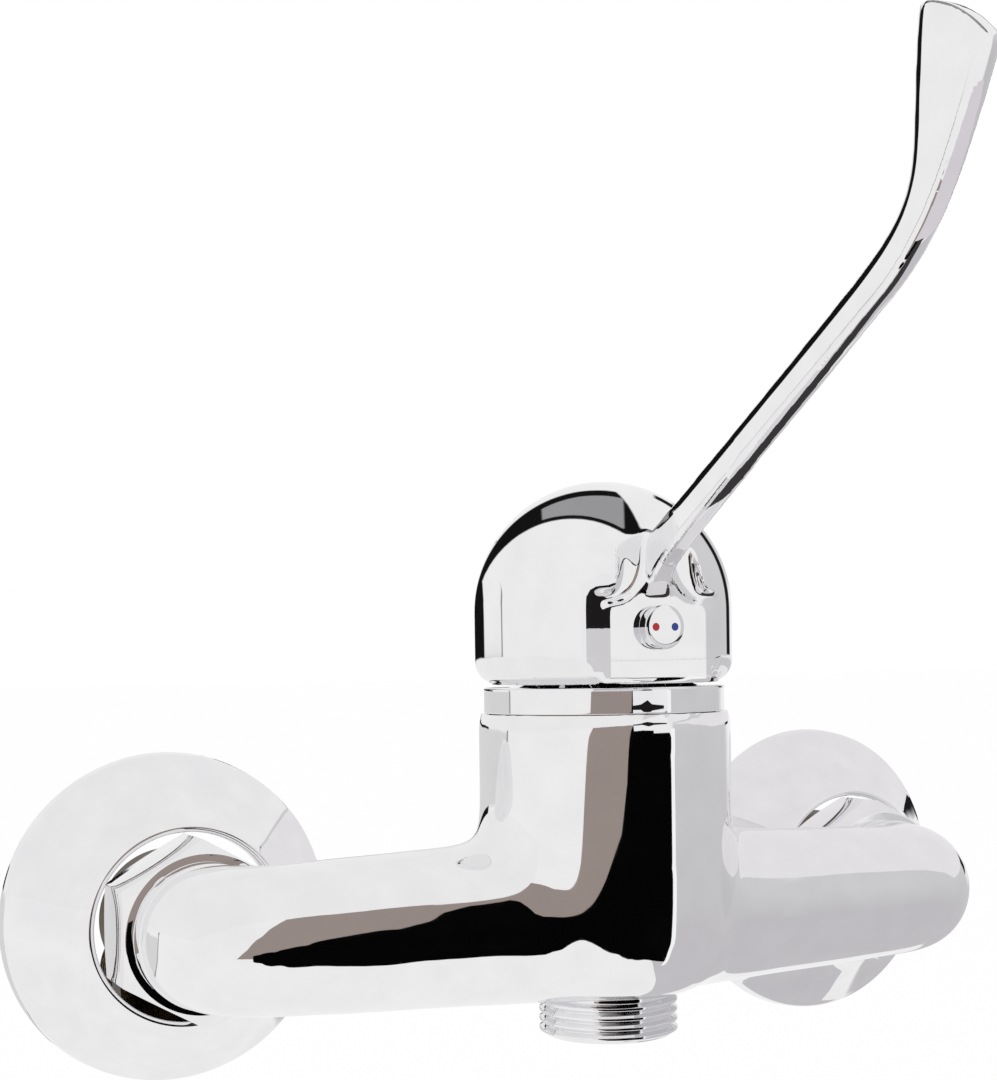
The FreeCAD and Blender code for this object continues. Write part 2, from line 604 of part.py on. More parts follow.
def front_recess():
    """What is cut off the dome's front to leave the flat around the plate and its neck."""
    beyond = DOME_RADIUS + CUT_MARGIN
    shoulder = BOSS_SHOULDER_Z + BORDER
    side = [(beyond, SKIRT_BOTTOM - CUT_MARGIN), (beyond, shoulder)]
    side += neck_curve(NECK_HALF_WIDTH + BORDER, BOSS_HALF_WIDTH - BOSS_SHOULDER + BORDER / 2, shoulder, NECK_Z)
    side.append((NECK_HALF_WIDTH + BORDER, NECK_Z + BORDER))
    return front_plate(side, NECK_Z + BORDER, FLAT_FACE, beyond)


def lever_blade():
    """The long flat lever, cut from its side outline and thinned towards the tip."""
    points = [
        LEVER_BACK_START, LEVER_BACK_BEND, (LEVER_BACK_ARC, LEVER_BACK_UP), LEVER_TOP_BACK,
        (LEVER_TOP_MIDDLE, LEVER_TOP_FRONT), (LEVER_CORNER, LEVER_FRONT_TOP), LEVER_FRONT_UP,
        (LEVER_FRONT_ARC, LEVER_FRONT_BEND), LEVER_FRONT_START,
        (LEVER_BACK_START[0], LEVER_FRONT_START[1] - LEVER_ROOT_DROP)]
    half = LEVER_ROOT_THICKNESS
    place = lambda p: COLUMN_AXIS + Vector(-half, -p[0], p[1])
    slab = Part.Face(outline(points, place)).extrude(Vector(2 * half, 0, 0))
    near = (DOME_INNER, LEVER_ROOT_THICKNESS / 2)
    far = (LEVER_CORNER[0] + 1, LEVER_TIP_THICKNESS / 2)
    plan = [(near[1], -CUT_MARGIN), (near[1], -near[0]), (far[1], -far[0]),
            (-far[1], -far[0]), (-near[1], -near[0]), (-near[1], -CUT_MARGIN)]
    wedge = Part.Face(outline(plan, lambda p: COLUMN_AXIS + Vector(p[0], p[1], 0)))
    blade = slab.common(wedge.extrude(Vector(0, 0, LEVER_TOP_BACK[1] + CUT_MARGIN)))
    long_edges = [edge for edge in blade.Edges
                  if edge.BoundBox.XLength < 1 and edge.BoundBox.YMax < COLUMN_AXIS.y - BOSS_FACE + 15
                  and edge.BoundBox.YMin < COLUMN_AXIS.y - BOSS_FACE - 3]
    return blade.makeFillet(LEVER_ROUND, long_edges)


def handle():
    """The one-piece handle: dome, flat front and lever, hollow underneath, with the stem's socket."""
    half = HALF_STEM + SOCKET_WALL
    outside_limit = turned([
        (0, SOCKET_BOTTOM), (DOME_INNER + 1, SOCKET_BOTTOM), (DOME_INNER + 1, DOME_CENTRE_Z),
        ((DOME_INNER * math.sqrt(0.5) + 0.7, DOME_CENTRE_Z + DOME_INNER * math.sqrt(0.5) + 0.7),
         (0, DOME_CENTRE_Z + DOME_INNER + 1))])
    socket = block((-half, half), (-DOME_INNER - 1, PIVOT_Y + HALF_STEM + 1.0),
                   (SOCKET_BOTTOM, DOME_CENTRE_Z + DOME_INNER)).common(outside_limit)
    chord = math.sqrt(DOME_RADIUS ** 2 - FLAT_FACE ** 2)
    flat_wall = block((-chord, chord), (-FLAT_FACE, -FLAT_FACE + FLAT_WALL),
                      (SKIRT_BOTTOM, NECK_Z + BORDER + FLAT_WALL)).common(dome("filled"))
    cover = dome("hollow").multiFuse([flat_wall, socket]).cut(front_recess())
    shape = cover.multiFuse([front_boss(), lever_blade()])
    width = DOME_RADIUS * 3
    corner = COLUMN_AXIS + Vector(-width / 2, PIVOT_Y, RELIEF_START_Z - width)
    relief = Part.makeBox(width, width, width, corner)
    relief.rotate(COLUMN_AXIS + Vector(0, PIVOT_Y, RELIEF_START_Z), X_DIRECTION, LIFT_ANGLE)
    hollow = HALF_STEM + SCREW_CLEARANCE
    stem_hole = block((-hollow, hollow), (PIVOT_Y - hollow, PIVOT_Y + hollow),
                      (SOCKET_BOTTOM - 5, STEM_TOP + 0.5))
    mouth = COLUMN_AXIS + Vector(0, -BOSS_FACE - 1, BUTTON_Z)
    screw_hole = rod(mouth, COLUMN_AXIS + Vector(0, PIVOT_Y, BUTTON_Z), GRUB_RADIUS + SCREW_CLEARANCE)
    return shape.cut(relief).cut(stem_hole).cut(screw_hole).removeSplitter()


def grub_screw():
    front = PIVOT_Y - HALF_STEM - GRUB_LENGTH
    start = COLUMN_AXIS + Vector(0, front, BUTTON_Z)
    screw = rod(start, start + Vector(0, GRUB_LENGTH, 0), GRUB_RADIUS)
    key = hex_prism(2 * GRUB_SOCKET, start, Y_DIRECTION, GRUB_LENGTH / 3)
    return screw.cut(key)


def dot_cylinders():
    face = -BOSS_FACE - BUTTON_PROUD
    made = []
    for side in (-1, 1):
        start = COLUMN_AXIS + Vector(side * DOT_SPACING / 2, face, BUTTON_Z)
        made.append(rod(start, start + Vector(0, DOT_DEPTH, 0), DOT_RADIUS))
    return made


def index_button():
    """The plug over the grub screw, with two pits for the coloured dots."""
    centre = COLUMN_AXIS + Vector(0, 0, BUTTON_Z)
    edge = BUTTON_EDGE
    face = BOSS_FACE + BUTTON_PROUD
    points = [
        (0, face), (BUTTON_RADIUS - edge, face),
        ((BUTTON_RADIUS - edge * 0.3, face - edge * 0.3), (BUTTON_RADIUS, face - edge)),
        (BUTTON_RADIUS, BOSS_FACE), (BUTTON_PEG_RADIUS, BOSS_FACE),
        (BUTTON_PEG_RADIUS, BOSS_FACE - BUTTON_PEG_LENGTH), (0, BOSS_FACE - BUTTON_PEG_LENGTH)]
    section = Part.Face(outline(points, lambda p: centre + Vector(p[0], -p[1], 0)))
    button = section.revolve(centre, Y_DIRECTION, 360)
    for dot in dot_cylinders():
        button = button.cut(dot)
    return button


def make_parts():
    end_x = INLET_SPACING / 2
    dots = dot_cylinders()
    parts = {
        "body_casting": body_casting(),
        "outlet_nipple": outlet_nipple(),
        "cartridge_base": cartridge_base(),
        "cartridge_base_seals": base_seals(),
        "fixed_ceramic_disc": fixed_ceramic_disc(),
        "moving_ceramic_disc": moving_ceramic_disc(),
        "disc_carrier": disc_carrier(),
        "cartridge_housing": cartridge_housing(),
        "cartridge_rotor": cartridge_rotor(),
        "spindle_hinge_pin": hinge_pin(),
        "spindle": spindle(),
        "cartridge_clamp_nut": clamp_nut(),
        "trim_ring": trim_ring(),
        "lever_handle": handle(),
        "grub_screw": grub_screw(),
        "index_button": index_button(),
        "hot_dot": dots[0],
        "cold_dot": dots[1],
    }
    for name, side in (("hot", -1), ("cold", 1)):
        x = side * end_x
        parts[name + "_inlet_nipple"] = inlet_nipple(x)
        parts[name + "_union_washer"] = union_washer(x)
        parts[name + "_union_nut"] = union_nut(x)
        parts[name + "_eccentric_union"] = eccentric_union(x)
        parts[name + "_rosette"] = rosette(x)
    return parts


os.makedirs("parts", exist_ok=True)
for node_name, node_shape in make_parts().items():
    node_shape.exportStep("parts/" + node_name + ".step")
    print(node_name, "valid" if node_shape.isValid() else "INVALID", round(node_shape.Volume, 1),
          "solids", len(node_shape.Solids))
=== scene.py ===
# %% [markdown]
# A wall-mounted shower mixer with one long lever, modelled for a studio picture.
# The solid model is loaded first and stays where it is. Every visible part is then either
# re-made here with clean, smooth surfaces, or kept and given a proper finish.

# %% Load the frame
import math
import bpy
from mathutils import Matrix, Vector


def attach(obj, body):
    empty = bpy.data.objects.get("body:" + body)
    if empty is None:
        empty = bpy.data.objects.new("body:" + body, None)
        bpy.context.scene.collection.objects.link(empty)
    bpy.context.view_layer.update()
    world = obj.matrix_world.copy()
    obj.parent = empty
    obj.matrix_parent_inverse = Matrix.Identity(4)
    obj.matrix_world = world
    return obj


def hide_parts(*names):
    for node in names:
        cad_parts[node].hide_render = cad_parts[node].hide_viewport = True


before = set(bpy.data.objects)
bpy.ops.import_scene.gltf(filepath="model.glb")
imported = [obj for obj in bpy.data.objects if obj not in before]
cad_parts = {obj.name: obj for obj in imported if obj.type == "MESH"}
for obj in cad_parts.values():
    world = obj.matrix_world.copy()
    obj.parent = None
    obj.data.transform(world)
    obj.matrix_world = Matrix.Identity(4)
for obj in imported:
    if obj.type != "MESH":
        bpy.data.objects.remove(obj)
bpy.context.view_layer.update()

# %% [markdown]
# Lengths are easier to read in millimetres, while the scene is in metres, so one factor
# turns them round. The mixer's upright axis stands in front of the wall, and nearly every
# part is turned about it or about one of the two inlets. Sizes that several parts share are
# named here, and the rest beside the part that they belong to.

# %% Shared sizes
MM = 0.001
AXIS_Y = -42.5           # upright axis of the column, in front of the wall
PIVOT_Y = AXIS_Y + 4     # the pin that the handle tilts on lies behind that axis
INLET_X = 75.0           # each inlet, to the side of the axis
BODY_TOP = 38.7          # seam between the column and the trim ring
SKIRT_EDGE = 44.25       # lower edge of the handle
BUTTON_Z = 54.4          # middle of the index button
LIFT_ANGLE = 20          # how far the handle tilts back, in degrees
print("column axis at", AXIS_Y * MM, "m from the wall")

# %% [markdown]
# Colours are written as hex values, the way a colour picker shows them. Blender's shaders
# work in linear light, so one function turns a hex colour into linear numbers.

# %% Colour helper
def linear(code):
    """An sRGB hex colour as linear red, green, blue and alpha."""
    parts = [int(code[i:i + 2], 16) / 255 for i in (1, 3, 5)]
    return [c / 12.92 if c <= 0.04045 else ((c + 0.055) / 1.055) ** 2.4 for c in parts] + [1.0]


print("mid grey:", [round(c, 3) for c in linear("#808080")])

# %% [markdown]
# A finish is a small graph of nodes. By hand each node is added, set and wired in turn, and
# one function does the same here. An input is named by its label, or by its number where
# several inputs of a node have the same label.

# %% Node helper
def add_node(tree, kind, settings=None, links=None):
    """Adds one node, fills its inputs and properties, and links what feeds it."""
    node = tree.nodes.new(kind)
    for key, value in (settings or {}).items():
        if isinstance(key, int) or key in node.inputs:
            node.inputs[key].default_value = value
        else:
            setattr(node, key, value)
    for key, source in (links or {}).items():
        tree.links.new(source, node.inputs[key])
    return node


def start_finish(name, metallic):
    """A new material with its tree, its shader and the place on the piece that patterns follow."""
    material = bpy.data.materials.new(name)
    material.use_nodes = True
    tree = material.node_tree
    shader = tree.nodes["Principled BSDF"]
    shader.inputs["Metallic"].default_value = metallic
    place = add_node(tree, "ShaderNodeTexCoord").outputs["Object"]
    return material, tree, shader, place


def tint(tree, shader, pattern, low, high):
    """Runs the base colour between two near tints. Each is a place in the pattern and a hex colour."""
    tone = add_node(tree, "ShaderNodeValToRGB", links={"Fac": pattern})
    for element, (position, code) in zip(tone.color_ramp.elements, (low, high)):
        element.position = position
        element.color = linear(code)
    tree.links.new(tone.outputs["Color"], shader.inputs["Base Color"])


print("finish helpers ready")

# %% [markdown]
# The body, handle, ring, rosettes and nuts are brass castings, ground, buffed and
# chromium plated. Plating shows as a mirror with a faintly blue-grey tint. Buffing leaves
# very low, wide waves, which bend the edges of a reflection, and a haze of fine wipe marks
# that only changes the roughness. Both are noise on Object coordinates, in real sizes.

# %% Polished chrome
def polished_chrome(name, tints, wave_mm, wave_depth):
    material, tree, shader, place = start_finish(name, 1.0)
    haze = add_node(tree, "ShaderNodeTexNoise", {"Scale": 1 / (6 * MM), "Detail": 4.0}, {"Vector": place})
    polish = add_node(tree, "ShaderNodeMapRange",
                      {"From Min": 0.35, "From Max": 0.75, "To Min": 0.02, "To Max": 0.045},
                      {"Value": haze.outputs["Fac"]})
    tree.links.new(polish.outputs["Result"], shader.inputs["Roughness"])
    tint(tree, shader, haze.outputs["Fac"], (0.3, tints[0]), (0.7, tints[1]))
    waves = add_node(tree, "ShaderNodeTexNoise", {"Scale": 1 / (wave_mm * MM), "Detail": 1.0},
                     {"Vector": place})
    swell = add_node(tree, "ShaderNodeBump", {"Strength": 1.0, "Distance": wave_depth * MM},
                     {"Height": waves.outputs["Fac"]})
    tree.links.new(swell.outputs["Normal"], shader.inputs["Normal"])
    return material


chrome_cast = polished_chrome("buffed_chrome_on_cast_brass", ("#F0F0F1", "#F5F5F6"), 26, 0.05)
chrome_turned = polished_chrome("buffed_chrome_on_turned_brass", ("#EEEEF0", "#F4F4F5"), 40, 0.02)
chrome_pressed = polished_chrome("chrome_on_pressed_brass_sheet", ("#EEEEF0", "#F5F5F5"), 30, 0.06)
print("chrome finishes:", chrome_cast.name, chrome_turned.name, chrome_pressed.name)

# %% [markdown]
# The hidden metal is plain machined brass. A lathe leaves fine rings around the part, too
# fine to show one by one, so they are drawn coarser, about three millimetres apart, as a
# shallow bump. The wave texture repeats after a fixed part of its own unit.

# %% Machined brass and stainless steel
WAVE_REPEAT = math.pi / 10


def machined_metal(name, light, dark, ring_mm, rough):
    material, tree, shader, place = start_finish(name, 1.0)
    blotch = add_node(tree, "ShaderNodeTexNoise", {"Scale": 1 / (5 * MM), "Detail": 5.0}, {"Vector": place})
    tint(tree, shader, blotch.outputs["Fac"], (0.35, dark), (0.65, light))
    worn = add_node(tree, "ShaderNodeMapRange",
                    {"From Min": 0.3, "From Max": 0.7, "To Min": rough - 0.06, "To Max": rough + 0.08},
                    {"Value": blotch.outputs["Fac"]})
    tree.links.new(worn.outputs["Result"], shader.inputs["Roughness"])
    rings = add_node(tree, "ShaderNodeTexWave",
                     {"wave_type": "BANDS", "bands_direction": "Y", "Scale": WAVE_REPEAT / (ring_mm * MM),
                      "Distortion": 0.6, "Detail": 2.0}, {"Vector": place})
    marks = add_node(tree, "ShaderNodeBump", {"Strength": 0.4, "Distance": 0.02 * MM},
                     {"Height": rings.outputs["Fac"]})
    tree.links.new(marks.outputs["Normal"], shader.inputs["Normal"])
    return material


brass = machined_metal("machined_brass", "#D9B566", "#B98F42", 3.1416, 0.26)
# Painted shade: this brass is made far darker than brass, so that the eccentric unions read as the dark
# shade that falls on them inside the rosettes.
dull_brass_painted_shade = machined_metal("dull_brass_with_painted_shade", "#5A4C36", "#33291B", 3.1416, 0.42)
steel = machined_metal("turned_stainless_steel", "#C9CBCC", "#A4A6A8", 2.5133, 0.24)
print("metals:", brass.name, dull_brass_painted_shade.name, steel.name)

# %% [markdown]
# The cartridge is moulded from filled nylon and acetal, its seals are rubber and its two
# discs are lapped alumina. Moulded parts have a fine, even grain from the tool, rubber is
# duller and slightly mottled, and alumina is smooth and white. The enamel of the two dots
# is a smooth, glossy drop, so it shares this finish with a very fine grain.

# %% Plastics, rubber, ceramic and enamel
def moulded(name, base, other, grain_mm, grain_depth, rough):
    material, tree, shader, place = start_finish(name, 0.0)
    cloud = add_node(tree, "ShaderNodeTexNoise", {"Scale": 1 / (8 * MM), "Detail": 3.0}, {"Vector": place})
    tint(tree, shader, cloud.outputs["Fac"], (0.0, other), (1.0, base))
    grain = add_node(tree, "ShaderNodeTexNoise", {"Scale": 1 / (grain_mm * MM), "Detail": 2.0},
                     {"Vector": place})
    spread = add_node(tree, "ShaderNodeMapRange", {"To Min": rough - 0.05, "To Max": rough + 0.05},
                      {"Value": grain.outputs["Fac"]})
    tree.links.new(spread.outputs["Result"], shader.inputs["Roughness"])
    relief = add_node(tree, "ShaderNodeBump", {"Strength": 0.5, "Distance": grain_depth * MM},
                      {"Height": grain.outputs["Fac"]})
    tree.links.new(relief.outputs["Normal"], shader.inputs["Normal"])
    return material


grey_nylon = moulded("moulded_grey_nylon", "#5D6064", "#505357", 0.4, 0.02, 0.5)
white_acetal = moulded("moulded_white_acetal", "#E9E8E2", "#DEDDD6", 0.5, 0.01, 0.38)
black_rubber = moulded("moulded_black_rubber", "#232323", "#191919", 0.3, 0.03, 0.75)
alumina = moulded("lapped_alumina", "#F0EDE6", "#E6E2DA", 0.2, 0.004, 0.22)
red_enamel = moulded("red_enamel", "#B4202A", "#A11A24", 0.3, 0.01, 0.3)
blue_enamel = moulded("blue_enamel", "#1F3F8C", "#18357C", 0.3, 0.01, 0.3)
print("moulded finishes: 6")

# %% [markdown]
# An operator works on everything that is selected, so each step starts from an empty
# selection. A finished piece gets its name, finish and smooth shading in one go, its place
# is put into its mesh, and it is hung on the body of the solid model that carries it.

# %% Selection and finishing helpers
def clear_selection():
    if bpy.context.object and bpy.context.object.mode != "OBJECT":
        bpy.ops.object.mode_set(mode="OBJECT")
    bpy.ops.object.select_all(action="DESELECT")


def pick(*pieces):
    clear_selection()
    for piece in pieces:
        piece.select_set(True)
    bpy.context.view_layer.objects.active = pieces[0]


def use_modifier(piece, kind, **settings):
    """Adds a modifier with these settings and applies it."""
    pick(piece)
    modifier = piece.modifiers.new(kind.title(), kind)
    for key, value in settings.items():
        setattr(modifier, key, value)
    bpy.ops.object.modifier_apply(modifier=modifier.name)


def finish_piece(piece, name, material, body, stands_for=(), angle=32):
    pick(piece)
    piece.name = name
    bpy.ops.object.transform_apply(location=True, rotation=True, scale=True)
    piece.data.materials.clear()
    piece.data.materials.append(material)
    bpy.ops.object.shade_smooth_by_angle(angle=math.radians(angle))
    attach(piece, body)
    if stands_for:
        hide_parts(*stands_for)
    print(name, "faces:", len(piece.data.polygons))
    return piece


# %% [markdown]
# Most of the mixer is turned, so the main tool is a lathe made of operators: a ring of
# points is added and extruded from station to station. A station is a radius and a height.
# Real edges are never sharp, so a helper first rounds each corner of the outline.

# %% Outline helpers
CORNER_STEPS = 4         # straight pieces in a rounded corner


def eased(profile, size):
    """Rounds the corners of an open outline. A corner may bring its own size as a third number."""
    made = [profile[0][:2]]
    for before, corner, after in zip(profile, profile[1:], profile[2:]):
        radius = corner[2] if len(corner) > 2 else size
        here = Vector(corner[:2])
        back, on = Vector(before[:2]) - here, Vector(after[:2]) - here
        reach = min(radius, back.length * 0.45, on.length * 0.45)
        if reach < 0.01:
            made.append(tuple(here))
            continue
        start, end = here + back.normalized() * reach, here + on.normalized() * reach
        for step in range(CORNER_STEPS + 1):
            t = step / CORNER_STEPS
            made.append(tuple(start * (1 - t) ** 2 + here * 2 * t * (1 - t) + end * t ** 2))
    return made + [profile[-1][:2]]


def bow(centre, radius, start, end, steps):
    """Stations along an arc, from one angle to another, in degrees."""
    turns = [math.radians(start + (end - start) * i / steps) for i in range(steps + 1)]
    return [(centre[0] + radius * math.cos(a), centre[1] + radius * math.sin(a)) for a in turns]


print("quarter bow:", [[round(v, 2) for v in point] for point in bow((0, 0), 1, 0, 90, 2)])

# %% Lathe helper
POLE = 0.001             # a radius this small stands for a point on the axis


def turn_on_lathe(profile, sides=128, ends="open"):
    """Pulls a ring through the stations. Ends are left open, capped, or joined to each other."""
    clear_selection()
    radius, height = profile[0]
    bpy.ops.mesh.primitive_circle_add(vertices=sides, radius=radius * MM, location=(0, 0, height * MM))
    piece = bpy.context.object
    bpy.ops.object.transform_apply(location=True)
    bpy.ops.object.mode_set(mode="EDIT")
    bpy.ops.mesh.select_all(action="SELECT")
    if ends == "capped":
        bpy.ops.mesh.edge_face_add()
        bpy.ops.mesh.select_all(action="SELECT")
    for new_radius, new_height in profile[1:]:
        bpy.ops.mesh.extrude_region_move(
            TRANSFORM_OT_translate={"value": (0, 0, (new_height - height) * MM)})
        scale = max(new_radius, POLE) / radius
        bpy.ops.transform.resize(value=(scale, scale, 1), center_override=(0, 0, new_height * MM))
        radius, height = max(new_radius, POLE), new_height
    if radius == POLE:
        bpy.ops.mesh.merge(type="CENTER")
    if ends == "joined":
        bpy.ops.mesh.select_all(action="DESELECT")
        bpy.ops.mesh.select_mode(type="EDGE")
        bpy.ops.mesh.select_non_manifold()
        bpy.ops.mesh.bridge_edge_loops()
    bpy.ops.mesh.select_all(action="SELECT")
    bpy.ops.mesh.normals_make_consistent(inside=False)
    bpy.ops.object.mode_set(mode="OBJECT")
    return piece


TO_WALL = (90, 0, 0)     # turns a lathe's height into distance in front of the wall


def stand(piece, x=0.0, y=0.0, z=0.0, tilt=(0, 0, 0)):
    """Puts a turned piece in its place, in millimetres and degrees."""
    pick(piece)
    piece.rotation_euler = [math.radians(a) for a in tilt]
    piece.location = (x * MM, y * MM, z * MM)
    bpy.ops.object.transform_apply(location=True, rotation=True)
    return piece


print("lathe ready")

# %% [markdown]
# The handle and the body are castings whose parts run into each other in soft hollows.
# Such a form is roughed out from overlapping closed shapes, which a voxel remesh melts
# into one skin. A few passes of smoothing then do what the polishing wheel does. The
# machined seats are cut afterwards with plain boxes and turned shapes, so they stay crisp.

# %% Melting and cutting helpers
def melt(pieces, voxel_mm, passes):
    pick(*pieces)
    bpy.ops.object.join()
    piece = bpy.context.object
    use_modifier(piece, "REMESH", mode="VOXEL", voxel_size=voxel_mm * MM, use_smooth_shade=True)
    use_modifier(piece, "SMOOTH", factor=0.5, iterations=passes)
    return piece


def trim_above(piece, height):
    """Cuts away everything above a level and closes the cut."""
    pick(piece)
    bpy.ops.object.mode_set(mode="EDIT")
    bpy.ops.mesh.select_all(action="SELECT")
    bpy.ops.mesh.bisect(plane_co=(0, 0, height * MM), plane_no=(0, 0, 1), use_fill=True, clear_outer=True)
    bpy.ops.object.mode_set(mode="OBJECT")


def box(size, centre):
    """A box of this size round this point, in millimetres."""
    clear_selection()
    bpy.ops.mesh.primitive_cube_add(size=1, location=[c * MM for c in centre])
    piece = bpy.context.object
    piece.scale = [s * MM for s in size]
    bpy.ops.object.transform_apply(location=True, scale=True)
    return piece


def cut_out(piece, tool):
    """Subtracts one closed shape from another and removes the tool."""
    use_modifier(piece, "BOOLEAN", operation="DIFFERENCE", object=tool, solver="EXACT")
    bpy.data.objects.remove(tool)


print("melting and cutting helpers ready")

# %% [markdown]
# Body casting. An upright column carries two arms that taper towards the wall inlets and
# turn back in short elbows. Subdivision would need a careful cage around the two hollows,
# so the column and the arms are turned and spun as closed shapes and melted together.
# The column's foot is a quarter of an oval, and its rough top is cut to the seam later.

# %% Column
COLUMN_RADIUS = 23.3
FOOT_FLAT, FOOT_REACH = 14.6, 8.5      # radius of the flat below, and how far the oval widens it
FOOT_TOP, FOOT_DROP = -2.0, 11.9       # where the oval starts, and how far it falls
column_outline = [(FOOT_FLAT, FOOT_TOP - FOOT_DROP)]
for turn in range(0, 91, 6):
    bend = math.radians(turn)
    column_outline.append((FOOT_FLAT + FOOT_REACH * math.sin(bend), FOOT_TOP - FOOT_DROP * math.cos(bend)))
column_outline += [(COLUMN_RADIUS, 0), (COLUMN_RADIUS, 46)]
column_rough = stand(turn_on_lathe(column_outline, ends="capped"), y=AXIS_Y)
print("column stations:", len(column_outline))

# %% Arms with spun elbows
ELBOW_X = 67             # where an arm stops being straight
ELBOW_CENTRE_Y = -34.5   # the elbow turns about an upright line here
arm_outline = [(15.0, 0), (15.0, 15), (14.4, 30), (13.8, 45), (13.3, 57), (12.9, ELBOW_X)]


def rough_arm(side):
    piece = turn_on_lathe(arm_outline, ends="capped")
    stand(piece, y=AXIS_Y, tilt=(0, 90 * side, 0))
    bpy.ops.object.mode_set(mode="EDIT")
    bpy.ops.mesh.select_mode(type="VERT")
    bpy.ops.mesh.select_all(action="DESELECT")
    bpy.ops.object.mode_set(mode="OBJECT")
    for vertex in piece.data.vertices:
        vertex.select = abs(vertex.co.x) > (ELBOW_X - 0.1) * MM
    bpy.ops.object.mode_set(mode="EDIT")
    bpy.ops.mesh.select_mode(type="EDGE")
    elbow_centre = (side * ELBOW_X * MM, ELBOW_CENTRE_Y * MM, 0)
    bpy.ops.mesh.spin(steps=16, angle=-side * math.pi / 2, center=elbow_centre, axis=(0, 0, 1))
    bpy.ops.mesh.extrude_region_move(TRANSFORM_OT_translate={"value": (0, 9 * MM, 0)})
    bpy.ops.mesh.select_all(action="SELECT")
    bpy.ops.mesh.normals_make_consistent(inside=False)
    bpy.ops.object.mode_set(mode="OBJECT")
    return piece


left_arm, right_arm = rough_arm(-1), rough_arm(1)
print("left arm reaches x =", round(min(v.co.x for v in left_arm.data.vertices), 4))

# %% [markdown]
# The hollows between arm and column are wide and soft. A coarse copy of all three shapes is
# smoothed until it shrinks away everywhere but in the hollows, and swollen by a millimetre.
# Melted in with the crisp shapes, it fills their inner corners and nothing else.

# %% Soft core for the hollows
pick(column_rough, left_arm, right_arm)
bpy.ops.object.duplicate()
core = melt(bpy.context.selected_objects, 1.2, 130)
use_modifier(core, "DISPLACE", strength=1.0 * MM, mid_level=0.0)
trim_above(core, 38.0)
print("soft core faces:", len(core.data.polygons))

# %% Melt the body and cut its seats
body = melt([column_rough, left_arm, right_arm, core], 0.62, 24)
trim_above(body, BODY_TOP)
print("body faces after melting:", len(body.data.polygons))
for side in (-1, 1):
    cut_out(body, box((40, 30, 40), (side * INLET_X, -14.5, 0)))
chamber_radius, chamber_floor, above_body = 18.8, 9, 45
chamber_outline = [(chamber_radius, chamber_floor), (chamber_radius, above_body), (0, above_body)]
cut_out(body, stand(turn_on_lathe(chamber_outline, sides=96, ends="capped"), y=AXIS_Y))
finish_piece(body, "body_shell", chrome_cast, "body", ("body_casting",), angle=60)

# %% [markdown]
# Each arm ends in a short turned collar, a little wider than the arm, against which the
# union nut is drawn. It could be a ridge in the casting, but the melting would round it
# away. Turned by itself it keeps the crisp edges that give the thin bright rings.

# %% Arm collars
collar_outline = eased([(11.0, 29.5), (13.3, 29.5), (13.3, 33.3), (12.2, 33.6)], 0.35)
for side, word in ((-1, "hot"), (1, "cold")):
    collar = stand(turn_on_lathe(collar_outline), x=side * INLET_X, tilt=TO_WALL)
    finish_piece(collar, word + "_arm_collar", chrome_turned, "body")

# %% [markdown]
# The trim ring is a loose turned ring between the column and the handle. Its lower edge
# meets the column in a hair-thin seam, and its inner crown closes the gap round the
# cartridge. The outer face has two extra stations near its ends, which keep the smooth
# shading of the rounded edges off the flat between them.

# %% Trim ring
RING_RADIUS = 22.9
outer = [(21.4, 38.8), (RING_RADIUS, 38.8, 0.25), (RING_RADIUS, 39.4), (RING_RADIUS, 42.8),
         (RING_RADIUS, 43.6, 0.5)]
crown = [(18.2, 43.6), (13.2, 45.4), (12.2, 45.4), (12.2, 44.4), (18.2, 42.6), (21.4, 42.6)]
ring = stand(turn_on_lathe(eased(outer + crown, 0.2), ends="joined"), y=AXIS_Y)
finish_piece(ring, "trim_ring_turned", chrome_turned, "body", ("trim_ring",))

# %% [markdown]
# The rosettes are pressed from thin sheet: an upright rim on the wall, a shallow step, a
# swelling cone and a rolled lip round the nut. A single skin with a Solidify modifier would
# do, but the lip is rolled, so the outline is drawn as a closed band instead, the outer
# skin first and the inner skin back again.

# %% Rosettes
outer = [(31.0, 0.0), (32.0, 0.0, 0.2), (31.6, 3.4, 0.5), (30.5, 4.4, 0.6), (25.6, 9.6, 3.0),
         (21.0, 14.8, 3.0), (18.9, 17.9, 0.9), (17.7, 17.6, 0.5), (17.62, 15.0)]
inner = [(18.62, 15.0), (18.7, 16.2, 0.3), (20.1, 14.4, 2.0), (24.7, 9.2, 3.0), (29.5, 3.8, 0.6),
         (30.6, 2.8, 0.4), (31.0, 0.6)]
rosette_outline = eased(outer + inner, 0.3)
for side, word in ((-1, "hot"), (1, "cold")):
    rosette = stand(turn_on_lathe(rosette_outline, sides=160, ends="joined"), x=side * INLET_X, tilt=TO_WALL)
    stands_for = (word + "_rosette",)
    finish_piece(rosette, word + "_rosette_pressed", chrome_pressed, "body", stands_for)

# %% [markdown]
# A union nut is a length of hexagon bar. Its corners are turned off at both ends, which is
# the common part of the bar and a double cone, and a bore takes the nipple's neck. A bevel
# alone would cut all round the ends, where a real nut is cut only at its six corners.

# %% Union nuts
HEXAGON_RADIUS = 17.32   # from the middle to a corner, for 30 mm across flats
double_cone = [(14.7, 13.2), (17.4, 14.7), (17.4, 27.7), (14.7, 29.2)]
bore_outline = [(13.3, 10), (13.3, 26.2), (10.1, 26.2), (10.1, 32), (0, 32)]


